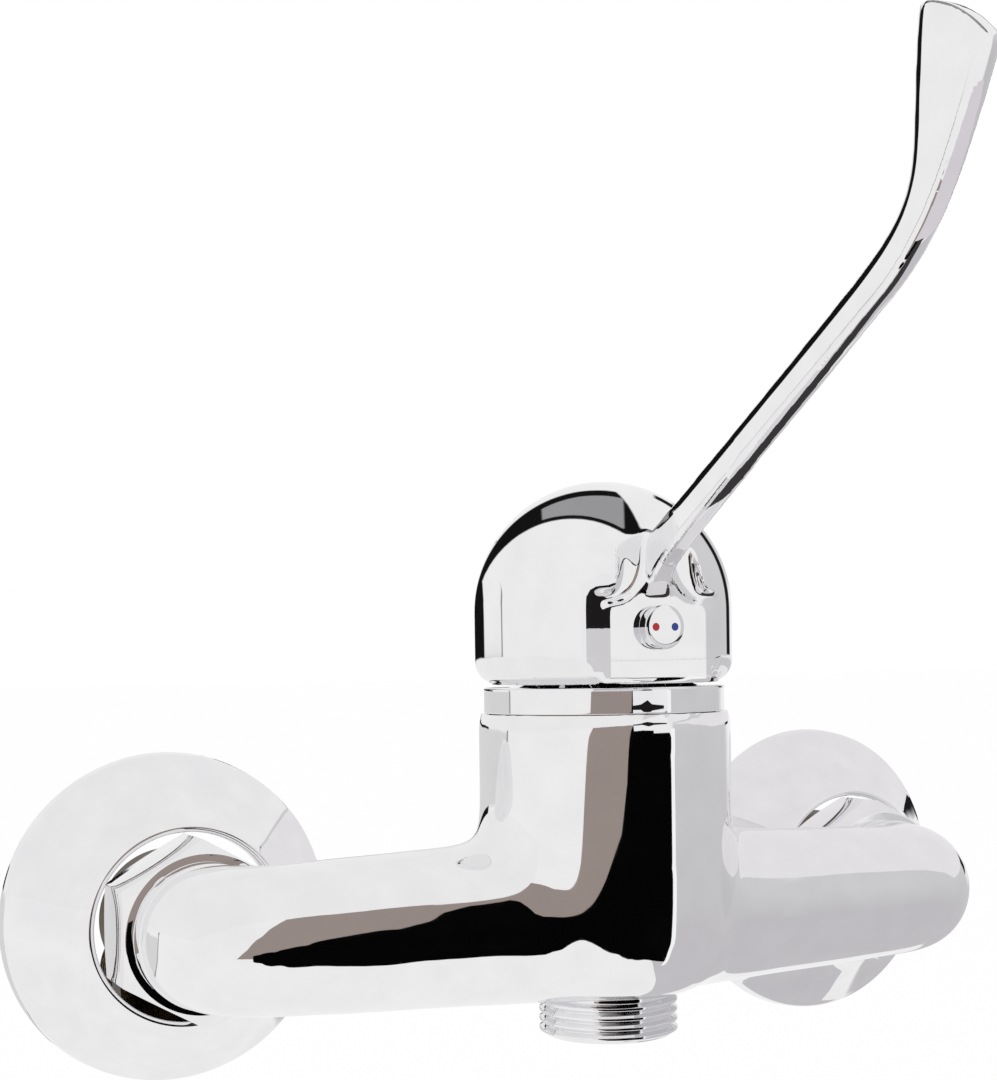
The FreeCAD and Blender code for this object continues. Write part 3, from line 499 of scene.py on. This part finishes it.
def make_nut():
    clear_selection()
    bpy.ops.mesh.primitive_cylinder_add(
        vertices=6, radius=HEXAGON_RADIUS * MM, depth=16 * MM, location=(0, 0, 21.2 * MM))
    bar = bpy.context.object
    bpy.ops.object.transform_apply(location=True)
    cone = turn_on_lathe(double_cone, sides=120, ends="capped")
    use_modifier(bar, "BOOLEAN", operation="INTERSECT", object=cone, solver="EXACT")
    bpy.data.objects.remove(cone)
    cut_out(bar, turn_on_lathe(bore_outline, sides=96, ends="capped"))
    use_modifier(bar, "BEVEL", width=0.22 * MM, segments=2, limit_method="ANGLE",
                 angle_limit=math.radians(28))
    return bar


for side, word in ((-1, "hot"), (1, "cold")):
    nut = stand(make_nut(), x=side * INLET_X, tilt=TO_WALL)
    finish_piece(nut, word + "_union_nut_hex", chrome_turned, "body", (word + "_union_nut",))

# %% [markdown]
# The outlet spigot carries the hose thread. Each ridge has a narrow flat crest and a
# rounded root, and a plain collar above it meets the body. A real thread climbs round the
# spigot, but over four turns the eye can't tell it from rings, which a lathe can make.

# %% Outlet spigot
PITCH, CREST, ROOT = 1.814, 13.2205, 12.15
RIDGES = 4
thread = [(8.0, -22.6), (12.0, -22.6, 0.3)]
for ridge in range(RIDGES):
    foot = -22.45 + ridge * PITCH
    thread += [(ROOT, foot + 0.12), (CREST, foot + 0.66, 0.12), (CREST, foot + 1.16, 0.12),
               (ROOT, foot + 1.70)]
thread += [(12.0, -15.1), (12.0, -13.9), (10.9, -13.9), (10.9, -8.2), (8.0, -8.2)]
spigot = stand(turn_on_lathe(eased(thread, 0.15), sides=144, ends="joined"), y=AXIS_Y)
finish_piece(spigot, "outlet_spigot_threaded", chrome_turned, "body", ("outlet_nipple",))

# %% [markdown]
# The handle is one casting: a dome, a flat front with square shoulders and the long lever.
# The lever is a plate standing on edge, so its side outline is laid out first as a grid,
# extruded to its thickness and rounded along its edges. Its two long edges are smooth curves
# through a few points, each a distance in front of the column's axis and a height.

# %% Lever outline
back_line = [(12.0, 67.0), (34.6, 79.1), (48.2, 86.4), (59.2, 92.3), (69.9, 98.1), (79.8, 103.6),
             (84.8, 106.6), (88.6, 109.2), (91.8, 112.2), (93.9, 115.6), (95.0, 119.6), (95.5, 125.5),
             (95.9, 132.0), (96.4, 137.0), (96.9, 140.4)]
front_line = [(20.2, 56.0), (21.0, 59.6), (22.6, 62.9), (25.6, 65.7), (31.0, 69.1), (38.0, 73.1),
              (51.0, 80.3), (62.0, 86.3), (73.0, 92.3), (83.0, 97.9), (89.6, 101.5), (94.3, 104.8),
              (98.1, 108.2), (101.0, 111.6), (103.8, 115.6), (106.6, 120.2), (109.2, 124.8),
              (111.2, 128.6), (112.3, 131.0)]


def along(line, t):
    """A point on a smooth curve through the given points."""
    place = t * (len(line) - 1)
    i = min(int(place), len(line) - 2)
    f = place - i
    p = [Vector(line[max(0, min(len(line) - 1, k))]) for k in (i - 1, i, i + 1, i + 2)]
    return 0.5 * (2 * p[1] + (p[2] - p[0]) * f + (2 * p[0] - 5 * p[1] + 4 * p[2] - p[3]) * f * f
                  + (3 * p[1] - p[0] - 3 * p[2] + p[3]) * f ** 3)


print("lever tip:", along(back_line, 1.0)[:], along(front_line, 1.0)[:])

# %% Lever blade
TIP_SHARE = 0.07                 # the part of the lever whose end swells into a round tip
TIP_SWELL = Vector((0.4, 1.6))
ROOT_HALF, TIP_HALF = 2.2, 1.6   # half the thickness at the root and at the tip
TAPER_START, TAPER_LENGTH = 20, 92
CHAMFER, CHAMFER_REACH = 1.15, 2.9
clear_selection()
bpy.ops.mesh.primitive_grid_add(x_subdivisions=72, y_subdivisions=12, size=2)
blade = bpy.context.object
for vertex in blade.data.vertices:
    t, across = (vertex.co.x + 1) / 2, (vertex.co.y + 1) / 2
    spot = along(back_line, t).lerp(along(front_line, t), across)
    swell = max(0.0, (t - (1 - TIP_SHARE)) / TIP_SHARE)
    spot += TIP_SWELL * 4 * across * (1 - across) * swell ** 2
    vertex.co = Vector((0, (AXIS_Y - spot.x) * MM, spot.y * MM))
bpy.ops.object.mode_set(mode="EDIT")
bpy.ops.mesh.select_all(action="SELECT")
bpy.ops.mesh.extrude_region_move(TRANSFORM_OT_translate={"value": (1 * MM, 0, 0)})
bpy.ops.mesh.select_all(action="SELECT")
bpy.ops.mesh.normals_make_consistent(inside=False)
bpy.ops.object.mode_set(mode="OBJECT")
back_edge = [along(back_line, step / 200) for step in range(201)]
for vertex in blade.data.vertices:
    reach = min(1.0, max(0.0, (AXIS_Y - vertex.co.y / MM - TAPER_START) / TAPER_LENGTH))
    spot = Vector((AXIS_Y - vertex.co.y / MM, vertex.co.z / MM))
    flank = max(0.0, 1.0 - min((spot - point).length for point in back_edge) / CHAMFER_REACH)
    half = ROOT_HALF + (TIP_HALF - ROOT_HALF) * reach - CHAMFER * flank
    vertex.co.x = (half if vertex.co.x > 0.5 * MM else -half) * MM
use_modifier(blade, "BEVEL", width=0.6 * MM, segments=3, limit_method="ANGLE", angle_limit=math.radians(50))
print("blade points:", len(blade.data.vertices))

# %% [markdown]
# The dome is half a ball on a short straight wall, and its skirt curls inwards to the trim
# ring. It is turned as one skin and given its wall. The curl starts a little too low here,
# because the lower edge is cut level later, after the melting has rounded it.

# %% Dome shell
DOME_RADIUS, DOME_Z = 24.5, 58.0
SKIRT_ROUND = 4.3
curl_centre = (DOME_RADIUS - SKIRT_ROUND, SKIRT_EDGE + SKIRT_ROUND)
dome_outline = [(21.2, 42.8)] + bow(curl_centre, SKIRT_ROUND, -72, 0, 6) + [(DOME_RADIUS, DOME_Z)]
dome_outline += bow((0, DOME_Z), DOME_RADIUS, 3, 90, 30)[:-1] + [(0, DOME_Z + DOME_RADIUS)]
dome = stand(turn_on_lathe(dome_outline), y=AXIS_Y)
use_modifier(dome, "SOLIDIFY", thickness=3.4 * MM, offset=-1.0)
print("dome points:", len(dome.data.vertices))

# %% [markdown]
# The dome's front is cut back to a flat, and a plate with square shoulders stands a little
# out of it. Above the shoulders two hollow curves draw in to the root of the lever. The plate,
# the wider shape that cuts the dome and the backing that closes the cut from inside each have
# an outline of half widths at rising heights, so one function makes all three.

# %% Front outlines
def front_shape(outline, back, front):
    """A closed plate from half widths at rising heights, between two distances from the axis."""
    clear_selection()
    bpy.ops.mesh.primitive_grid_add(x_subdivisions=2, y_subdivisions=len(outline) - 1, size=2)
    plate = bpy.context.object
    for vertex in plate.data.vertices:
        row = round((vertex.co.y + 1) / 2 * (len(outline) - 1))
        wide, high = outline[row]
        vertex.co = Vector((vertex.co.x * wide * MM, (AXIS_Y - front) * MM, high * MM))
    bpy.ops.object.mode_set(mode="EDIT")
    bpy.ops.mesh.select_all(action="SELECT")
    bpy.ops.mesh.extrude_region_move(TRANSFORM_OT_translate={"value": (0, (front - back) * MM, 0)})
    bpy.ops.mesh.select_all(action="SELECT")
    bpy.ops.mesh.normals_make_consistent(inside=False)
    bpy.ops.object.mode_set(mode="OBJECT")
    return plate


FLAT_FACE = 20.4         # distances in front of the column's axis
PLATE_FACE = 21.2
plate_outline = [(11.2, 44.3), (11.2, 57.6), (11.0, 58.3), (10.0, 58.7), (8.2, 58.9), (6.6, 59.4),
                 (5.2, 60.3), (4.0, 61.6), (3.0, 63.2), (2.4, 65.2), (2.2, 67.4)]
cut_outline = [(35.0, 30.0), (35.0, 61.0), (9.5, 61.0), (8.8, 62.0), (8.3, 64.0), (8.0, 66.0),
               (7.8, 69.0), (7.6, 74.0)]
backing_outline = [(13.2, 45.5), (13.2, 60.0), (12.0, 64.0), (9.5, 67.0), (6.0, 69.0)]
plate = front_shape(plate_outline, 16.0, PLATE_FACE)
front_cut = front_shape(cut_outline, FLAT_FACE, 40.0)
backing = front_shape(backing_outline, 16.6, FLAT_FACE + 0.3)
print("front plate points:", len(plate.data.vertices))

# %% [markdown]
# Inside the dome a block of metal reaches down to the spindle's stem. It is melted in with
# the rest, so that it grows out of the dome in a soft corner, as a cast boss does.

# %% Socket for the stem
socket = box((14, 26, 22), (0, AXIS_Y - 5, 61))
use_modifier(socket, "BEVEL", width=1.2 * MM, segments=2)
print("socket points:", len(socket.data.vertices))

# %% Melt the handle
for rough in (dome, backing, socket):
    use_modifier(rough, "BOOLEAN", operation="DIFFERENCE", object=front_cut, solver="EXACT")
bpy.data.objects.remove(front_cut)
handle = melt([dome, backing, plate, socket, blade], 0.4, 22)
print("handle faces:", len(handle.data.polygons))

# %% [markdown]
# Three cuts fit the casting to the cartridge. The skirt is faced level over the trim ring, a
# square hole takes the spindle's stem, and the back of the skirt is relieved on a slant that
# starts over the pin, so that the handle can tilt back without touching the ring.

# %% Cut the handle
STEM_HOLE, STEM_HOLE_TOP, STEM_HOLE_DEPTH = 8.1, 66.5, 30
RELIEF_START = 44.1      # height at which the slanted cut starts, over the pin
WIDE = 80                # wider than the dome, for the cuts that go right across it
cut_out(handle, box((WIDE, WIDE, 20), (0, AXIS_Y, SKIRT_EDGE - 10)))
stem_centre = (0, PIVOT_Y, STEM_HOLE_TOP - STEM_HOLE_DEPTH / 2)
cut_out(handle, box((STEM_HOLE, STEM_HOLE, STEM_HOLE_DEPTH), stem_centre))
relief = box((WIDE, WIDE, WIDE), (0, WIDE / 2, -WIDE / 2))
cut_out(handle, stand(relief, y=PIVOT_Y, z=RELIEF_START, tilt=(LIFT_ANGLE, 0, 0)))
finish_piece(handle, "handle_cast", chrome_cast, "lever", ("lever_handle",), angle=75)

# %% [markdown]
# The index button is a small domed plug pressed over the grub screw. Two drops of enamel,
# red for hot and blue for cold, sit on its face. Paint on a texture would do from afar, but
# a real drop stands out a little and catches its own spot of light, so each is turned.

# %% Index button and dots
button_stations = [(2.4, 15.8), (2.4, 21.1), (4.0, 21.15), (4.0, 23.6, 0.5), (3.2, 23.68), (0, 23.7)]
button = turn_on_lathe(eased(button_stations, 0.15), sides=96, ends="capped")
stand(button, y=AXIS_Y, z=BUTTON_Z, tilt=TO_WALL)
finish_piece(button, "index_button_domed", chrome_turned, "lever", ("index_button",))
DOT_X = 1.95             # each dot, beside the middle of the button
dot_outline = eased([(0.75, 23.3), (0.75, 23.68), (0.5, 23.76, 0.1), (0, 23.78)], 0.05)
dots = ((-1, "hot", "red_paint", red_enamel), (1, "cold", "blue_paint", blue_enamel))
for side, word, paint_name, enamel in dots:
    dot = turn_on_lathe(dot_outline, sides=32, ends="capped")
    stand(dot, x=side * DOT_X, y=AXIS_Y, z=BUTTON_Z, tilt=TO_WALL)
    finish_piece(dot, word + "_dot_enamel", enamel, "lever", (word + "_dot",))

# %% [markdown]
# Parts that hide inside keep their exact forms. The solid model's meshes are loose
# triangles with flat shading, so a copy of each is merged and shaded smooth in its place.

# %% Smooth copies of the inner parts
inner_parts = {
    "cartridge_base": (grey_nylon, "body", "grey_plastic"),
    "cartridge_base_seals": (black_rubber, "body", "rubber"),
    "fixed_ceramic_disc": (alumina, "body", "ceramic"),
    "cartridge_housing": (grey_nylon, "body", "grey_plastic"),
    "cartridge_clamp_nut": (brass, "body", "brass"),
    "moving_ceramic_disc": (alumina, "disc", "ceramic"),
    "disc_carrier": (grey_nylon, "disc", "grey_plastic"),
    "cartridge_rotor": (white_acetal, "rotor", "white_plastic"),
    "spindle_hinge_pin": (steel, "rotor", "steel"),
    "spindle": (brass, "lever", "brass"),
    "grub_screw": (steel, "lever", "steel"),
}
for word in ("hot", "cold"):
    inner_parts[word + "_inlet_nipple"] = (brass, "body", "brass")
    inner_parts[word + "_union_washer"] = (black_rubber, "body", "rubber")
    # The eccentric unions get the darkened brass, which paints the shade inside the rosettes.
    inner_parts[word + "_eccentric_union"] = (dull_brass_painted_shade, "body", "brass")
for node, (material, carrier, slot_name) in inner_parts.items():
    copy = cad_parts[node].copy()
    copy.data = copy.data.copy()
    copy.parent = None
    for key in list(copy.keys()):
        del copy[key]
    bpy.context.scene.collection.objects.link(copy)
    pick(copy)
    bpy.ops.object.mode_set(mode="EDIT")
    bpy.ops.mesh.select_all(action="SELECT")
    bpy.ops.mesh.remove_doubles(threshold=1e-6)
    bpy.ops.object.mode_set(mode="OBJECT")
    finish_piece(copy, node + "_smooth", material, carrier, (node,), angle=25)

# %% [markdown]
# The floor is a plain pale sheet far below. It only fills the picture with the same white
# as the background, so most of its colour towards the camera comes from a weak glow. Other
# rays see plain paper, which keeps the glow from lighting the mixer from below.

# %% Floor
clear_selection()
bpy.ops.mesh.primitive_plane_add(size=40, location=(0, 0, -0.16))
floor = bpy.context.object
floor.name = "floor"
paper = bpy.data.materials.new("white_paper_sweep")
paper.use_nodes = True
tree = paper.node_tree
sheet = tree.nodes["Principled BSDF"]
sheet.inputs["Base Color"].default_value = linear("#F4F4F4")
sheet.inputs["Roughness"].default_value = 0.9
glow = add_node(tree, "ShaderNodeEmission", {"Color": (1, 1, 1, 1), "Strength": 1.0})
rays = add_node(tree, "ShaderNodeLightPath")
share = add_node(tree, "ShaderNodeMath", {"operation": "MULTIPLY", 1: 0.97},
                 {0: rays.outputs["Is Camera Ray"]})
mixed = add_node(tree, "ShaderNodeMixShader",
                 links={0: share.outputs["Value"], 1: sheet.outputs[0], 2: glow.outputs[0]})
tree.links.new(mixed.outputs[0], tree.nodes["Material Output"].inputs["Surface"])
floor.data.materials.append(paper)
floor.visible_glossy = False
print("floor at", floor.location.z)

# %% [markdown]
# Polished metal shows nothing but its surroundings. Whatever stood close to the mixer is a
# card here, a flat glowing sheet that only mirror rays see. Real objects could stand there
# too, but they would cast shadows, and a card can be shaped until its reflection is right.

# %% Card helper
def card(name, corners, colour_code):
    """A flat card through these corners that only mirror rays can see."""
    mesh = bpy.data.meshes.new(name)
    mesh.from_pydata([[c * MM for c in corner] for corner in corners], [], [range(len(corners))])
    piece = bpy.data.objects.new(name, mesh)
    bpy.context.scene.collection.objects.link(piece)
    board = bpy.data.materials.new(name + "_board")
    board.use_nodes = True
    board.node_tree.nodes.clear()
    shine = add_node(board.node_tree, "ShaderNodeEmission", {"Color": linear(colour_code), "Strength": 1.0})
    add_node(board.node_tree, "ShaderNodeOutputMaterial", links={"Surface": shine.outputs[0]})
    mesh.materials.append(board)
    for ray in ("camera", "diffuse", "shadow", "transmission"):
        setattr(piece, "visible_" + ray, False)
    cards.append(name)


def upright_card(name, y, outline, colour_code):
    card(name, [(x, y, z) for x, z in outline], colour_code)


def level_card(name, z, outline, colour_code):
    card(name, [(x, y, z) for x, y in outline], colour_code)


cards = []
print("cards are made in millimetres, upright ones at a y and level ones at a z")

# %% [markdown]
# The camera stand in front of the mixer shows in the column and the left arm: its dark
# front, its brown side behind that, and a white edge. A grey table end lies low on the right.

# %% Camera stand and table
STAND_Y = -160
TABLE_Z = -110
stand_front = [(-115, -24), (-60, -4), (-30, 8), (-18, 20), (-11, 36), (-4, 58), (8, 76), (28, 78), (28, 36),
               (60, 36), (64, 32), (64, -88), (30, -80), (-18, -76), (-36, -68), (-60, -66), (-115, -46)]
stand_side = [(-160, -40), (-98, 37), (-84, 60), (-60, 90), (28, 99), (28, 37), (-20, 10), (-70, -30)]
upright_card("stand_front", STAND_Y, stand_front, "#050505")
upright_card("stand_side", STAND_Y - 1, stand_side, "#9B8F89")
upright_card("stand_edge", STAND_Y, [(64, 42), (74, 42), (74, TABLE_Z), (64, TABLE_Z)], "#FFFFFF")
level_card("table_end", TABLE_Z, [(45, -400), (400, -400), (400, 20), (45, 20)], "#C8C6C9")
print("cards so far:", len(cards))

# %% [markdown]
# Beside and behind the column, body and handle need different surroundings. Awnings, level
# sheets at the height of the trim ring, close round the ring there with a little room. The
# body mirrors what is below them and the handle what is above.

# %% Awnings
AWNING_Z = 43
AWNING_RADIUS = 23.4
left_rim = [(x, AXIS_Y + y) for x, y in bow((0, 0), AWNING_RADIUS, 265, 95, 17)]
right_rim = [(x, AXIS_Y + y) for x, y in bow((0, 0), AWNING_RADIUS, -25, 85, 11)]
left_awning = [(-400, -100), (-2, -100)] + left_rim + [(-2, 400), (-400, 400)]
right_awning = [(400, -100), (25.5, -100), (25.5, -62)] + right_rim + [(2, 400), (400, 400)]
awning_top = [(150, -90), (33, -90), (33, 20), (150, 20)]
level_card("left_awning", AWNING_Z, left_awning, "#F4F3F3")
level_card("right_awning", AWNING_Z, right_awning, "#ECEAEC")
level_card("awning_top", AWNING_Z + 0.5, awning_top, "#CCCBCD")
print("cards so far:", len(cards))

# %% [markdown]
# Small cards close by give the handle's front its dark mark with a grey field below, and
# the trim ring its small dark figure in white. They stand where no ray from the arms passes.

# %% Cards for the handle and the trim ring
SCREEN_Y = -90
MARK_Y = -80
pale_screen = [(-45, 43.5), (-2, 43.5), (-2, 66), (-1, 80), (-45, 80)]
lamp_head = [(-27, 54.6), (-2.2, 54.6), (-2.2, 62.5), (0.5, 63.5), (0.5, 66), (-6, 65), (-27, 64)]
lamp_arm = [(-27, 43.5), (-2.2, 43.5), (-2.2, 54.6), (-27, 54.6)]
ring_shield = [(-6.3, 36.4), (9, 36.4), (9, 43), (-6.3, 43)]
ring_knob = [(-6.3, 39.2), (-3, 39.2), (0, 38.2), (2, 39), (8, 39.3), (8, 39.9), (2, 40.2), (0, 41),
             (-3, 40.2), (-6.3, 40)]
upright_card("pale_screen", SCREEN_Y, pale_screen, "#F4F3F4")
upright_card("lamp_head", MARK_Y, lamp_head, "#1E1C1D")
upright_card("lamp_arm", MARK_Y, lamp_arm, "#D6D4D6")
upright_card("ring_shield", MARK_Y, ring_shield, "#F6F5F6")
upright_card("ring_knob", MARK_Y + 0.5, ring_knob, "#1E1C1D")
print("cards so far:", len(cards))

# %% [markdown]
# Faces that look down, under the lever and in the hollow at its root, mirror what lies
# below them. Level sheets at the camera's own height, called visors here, serve them alone,
# because an upright face mirrors such a sheet edge-on. A pale sheet serves the lever's bend.

# %% Visors
EYE_Z = 48.54            # the camera's height
pale_visor = [(-20, -71), (11.5, -71), (16.5, -85), (23, -100), (26, -108), (-20, -108)]
dark_visor = [(12.5, -71), (34, -71), (40, -110), (42, -166), (22, -166), (21, -112), (17.5, -85)]
level_card("pale_visor", EYE_Z, pale_visor, "#DDDBDD")
level_card("dark_visor", EYE_Z + 0.01, dark_visor, "#3A3839")
level_card("dark_visor_back", EYE_Z - 0.01, dark_visor, "#F0EFF0")
level_card("bend_shade", 100, [(-3, -190), (40, -190), (40, -141.5), (-3, -141.5)], "#DAD6DB")
print("cards:", len(cards))

# %% [markdown]
# Far surroundings are painted into the sky. A mirror ball shows every direction at the place
# where the ball's own normal points halfway between that direction and the camera, so the
# sky is laid out in those two coordinates: across and up, as seen on the handle's dome.

# %% Mirror ball coordinates
world = bpy.data.worlds.new("studio")
bpy.context.scene.world = world
world.use_nodes = True
sky = world.node_tree
sky.nodes.clear()
heading = add_node(sky, "ShaderNodeTexCoord").outputs["Generated"]
view_turn = math.radians(27.8)
to_camera = (-math.sin(view_turn), -math.cos(view_turn), 0.0)
to_right = (math.cos(view_turn), -math.sin(view_turn), 0.0)
halfway = add_node(sky, "ShaderNodeVectorMath", {"operation": "ADD", 1: to_camera}, {0: heading})
normal = add_node(sky, "ShaderNodeVectorMath", {"operation": "NORMALIZE"}, {0: halfway.outputs["Vector"]})
across_dot = add_node(sky, "ShaderNodeVectorMath", {"operation": "DOT_PRODUCT", 1: to_right},
                      {0: normal.outputs["Vector"]})
across = across_dot.outputs["Value"]
upward = add_node(sky, "ShaderNodeSeparateXYZ", links={"Vector": normal.outputs["Vector"]}).outputs["Z"]
height = add_node(sky, "ShaderNodeSeparateXYZ", links={"Vector": heading}).outputs["Z"]
print("sky coordinates:", across.name, upward.name, height.name)

# %% [markdown]
# A shape in the sky is a mask, a number that is 1 inside and 0 outside. A soft edge makes
# one from any coordinate, and masks are multiplied to keep what they have in common.

# %% Masks
def edge(value, low, high):
    """Rises softly from 0 at low to 1 at high, or falls where high is the lower one."""
    ends = {"From Min": min(low, high), "From Max": max(low, high)}
    if high < low:
        ends.update({"To Min": 1.0, "To Max": 0.0})
    ends["interpolation_type"] = "SMOOTHSTEP"
    return add_node(sky, "ShaderNodeMapRange", ends, {"Value": value}).outputs["Result"]


def both(*masks):
    product = masks[0]
    for mask in masks[1:]:
        node = add_node(sky, "ShaderNodeMath", {"operation": "MULTIPLY"}, {0: product, 1: mask})
        product = node.outputs[0]
    return product


def outside(mask):
    return add_node(sky, "ShaderNodeMath", {"operation": "SUBTRACT", 0: 1.0}, {1: mask}).outputs[0]


def within(value, low, high, soft):
    return both(edge(value, low - soft, low + soft), edge(value, high + soft, high - soft))


def disc(centre_across, centre_up, radius, soft):
    """1 inside a circle on the mirror ball."""
    squares = []
    for value, middle in ((across, centre_across), (upward, centre_up)):
        away = add_node(sky, "ShaderNodeMath", {"operation": "SUBTRACT", 1: middle}, {0: value}).outputs[0]
        squares.append(both(away, away))
    total = add_node(sky, "ShaderNodeMath", {"operation": "ADD"}, {0: squares[0], 1: squares[1]})
    distance = add_node(sky, "ShaderNodeMath", {"operation": "SQRT"}, {0: total.outputs[0]})
    return edge(distance.outputs[0], radius + soft, radius - soft)


print("masks ready")

# %% [markdown]
# The room is white. Grey walls stand on the right and low on the left, with a thin dark
# line. Above the awnings a wide dark ring runs over the dome, broken by a grey ceiling.

# %% Walls
colour = add_node(sky, "ShaderNodeRGB").outputs[0]
colour.default_value = linear("#F7F6F6")


def paint(under, mask, code):
    """Lays a plain colour over what is painted already, where the mask is 1."""
    mix = add_node(sky, "ShaderNodeMix", {"data_type": "RGBA", 7: linear(code)}, {0: mask, 6: under})
    return mix.outputs[2]


wall_height = within(height, -0.62, 0.85, 0.05)
right_wall = both(edge(across, 0.51, 0.54), edge(across, 0.97, 0.93), wall_height)
colour = paint(colour, right_wall, "#D4D3D5")
right_low = both(right_wall, edge(height, 0.25, -0.45))
colour = paint(colour, right_low, "#C6C4C6")
left_wall = both(edge(across, -0.76, -0.775), edge(height, 0.02, -0.02))
colour = paint(colour, left_wall, "#DDDCDC")
left_line = both(within(across, -0.775, -0.768, 0.004), edge(height, 0.3, 0.2))
colour = paint(colour, left_line, "#6B6A6A")
print("walls painted")

# %% Dark ring and ceiling
above_arms = edge(height, -0.012, -0.004)
rim_square = add_node(sky, "ShaderNodeMath", {"operation": "MAXIMUM", 1: 0.0},
                      {0: outside(both(upward, upward))})
ball_rim = add_node(sky, "ShaderNodeMath", {"operation": "SQRT"}, {0: rim_square.outputs[0]})
arm_line = add_node(sky, "ShaderNodeMath", {"operation": "MULTIPLY", 1: 0.466}, {0: ball_rim.outputs[0]})
beyond_line = add_node(sky, "ShaderNodeMath", {"operation": "SUBTRACT"}, {0: arm_line.outputs[0], 1: across})
over_arm = edge(beyond_line.outputs[0], 0.07, 0.09)
ring_hole = disc(-0.25, -0.05, 0.745, 0.006)
ring_foot = edge(across, -0.91, -0.918)
ring_band = add_node(sky, "ShaderNodeMath", {"operation": "MAXIMUM"}, {0: outside(ring_hole), 1: ring_foot})
dark_ring = both(disc(-0.06, -0.03, 0.95, 0.006), above_arms, over_arm, ring_band.outputs[0])
colour = paint(colour, dark_ring, "#141414")
thin_band = both(disc(0, 0, 0.972, 0.004), outside(disc(0, 0, 0.944, 0.004)))
right_ring = both(thin_band, above_arms, edge(across, 0.38, 0.42))
colour = paint(colour, right_ring, "#1C1C1C")
ceiling_band = both(disc(-0.06, -0.03, 0.905, 0.005), outside(disc(-0.25, -0.05, 0.775, 0.004)))
ceiling = both(ceiling_band, within(across, -0.44, 0.17, 0.01), edge(upward, 0.60, 0.62))
colour = paint(colour, ceiling, "#9D9C9E")
print("studio painted")

# %% [markdown]
# Only mirror rays see the painted room. Everything matt is lit by an even white sky, as by a
# light tent, and the camera sees plain white behind the mixer, as in a catalogue picture.

# %% Who sees the studio
rays = add_node(sky, "ShaderNodeLightPath")
mirror_view = add_node(sky, "ShaderNodeBackground", {"Strength": 1.0}, {"Color": colour})
even_light = add_node(sky, "ShaderNodeBackground", {"Color": (1, 1, 1, 1), "Strength": 0.85})
camera_view = add_node(sky, "ShaderNodeBackground", {"Color": (1, 1, 1, 1), "Strength": 1.0})
first_mix = add_node(sky, "ShaderNodeMixShader", links={
    0: rays.outputs["Is Glossy Ray"], 1: even_light.outputs[0], 2: mirror_view.outputs[0]})
second_mix = add_node(sky, "ShaderNodeMixShader", links={
    0: rays.outputs["Is Camera Ray"], 1: first_mix.outputs[0], 2: camera_view.outputs[0]})
add_node(sky, "ShaderNodeOutputWorld", links={"Surface": second_mix.outputs[0]})
print("sky nodes:", len(sky.nodes))

# %% [markdown]
# The camera stands where the photograph was taken: to the left of the mixer, level with
# the foot of the dome and about a third of a metre away, with the frame slid up to hold the
# lever. The focal length is in pixels of a picture 1080 high, and the lens follows from it.

# %% Camera
PICTURE_HEIGHT = 1080
FOCAL_PIXELS = 1777.13
SENSOR = 36
SLIDE_RIGHT, SLIDE_UP = 2, 160         # pixels
EYE = (-161.46, -342.3, EYE_Z)
yaw, pitch_angle, roll = math.radians(24.85), math.radians(-1.22), math.radians(-0.88)
look = Vector((math.sin(yaw) * math.cos(pitch_angle), math.cos(yaw) * math.cos(pitch_angle),
               math.sin(pitch_angle)))
sideways = Vector((math.cos(yaw), -math.sin(yaw), 0))
overhead = sideways.cross(look)
right = math.cos(roll) * sideways + math.sin(roll) * overhead
up = -math.sin(roll) * sideways + math.cos(roll) * overhead
camera_data = bpy.data.cameras.new("photo_camera")
camera = bpy.data.objects.new("photo_camera", camera_data)
bpy.context.scene.collection.objects.link(camera)
camera_data.sensor_width = SENSOR
camera_data.lens = FOCAL_PIXELS / PICTURE_HEIGHT * SENSOR
camera_data.shift_x = SLIDE_RIGHT / PICTURE_HEIGHT
camera_data.shift_y = SLIDE_UP / PICTURE_HEIGHT
camera_data.clip_start = 0.01
place = Vector(EYE) * MM
camera.matrix_world = Matrix(((right.x, up.x, -look.x, place.x), (right.y, up.y, -look.y, place.y),
                              (right.z, up.z, -look.z, place.z), (0, 0, 0, 1)))
bpy.context.scene.camera = camera
print("lens:", round(camera_data.lens, 2), "mm")

# %% [markdown]
# One wide soft lamp from the upper left gives the enamel and the plastics a little shape.
# Mirror rays don't see it, because the sky has all that the chrome should show. The picture
# is shown with plain, unfiltered colours.

# %% Lamp and colour
clear_selection()
bpy.ops.object.light_add(type="AREA", location=(-0.7, -0.6, 0.9))
lamp = bpy.context.object
lamp.data.shape = "DISK"
lamp.data.size = 0.7
lamp.data.energy = 4.0
lamp.visible_glossy = False
lamp.rotation_euler = (Vector((0, 0, 0.03)) - lamp.location).to_track_quat("-Z", "Y").to_euler()
bpy.context.scene.view_settings.view_transform = "Standard"
print("lamp energy:", lamp.data.energy)
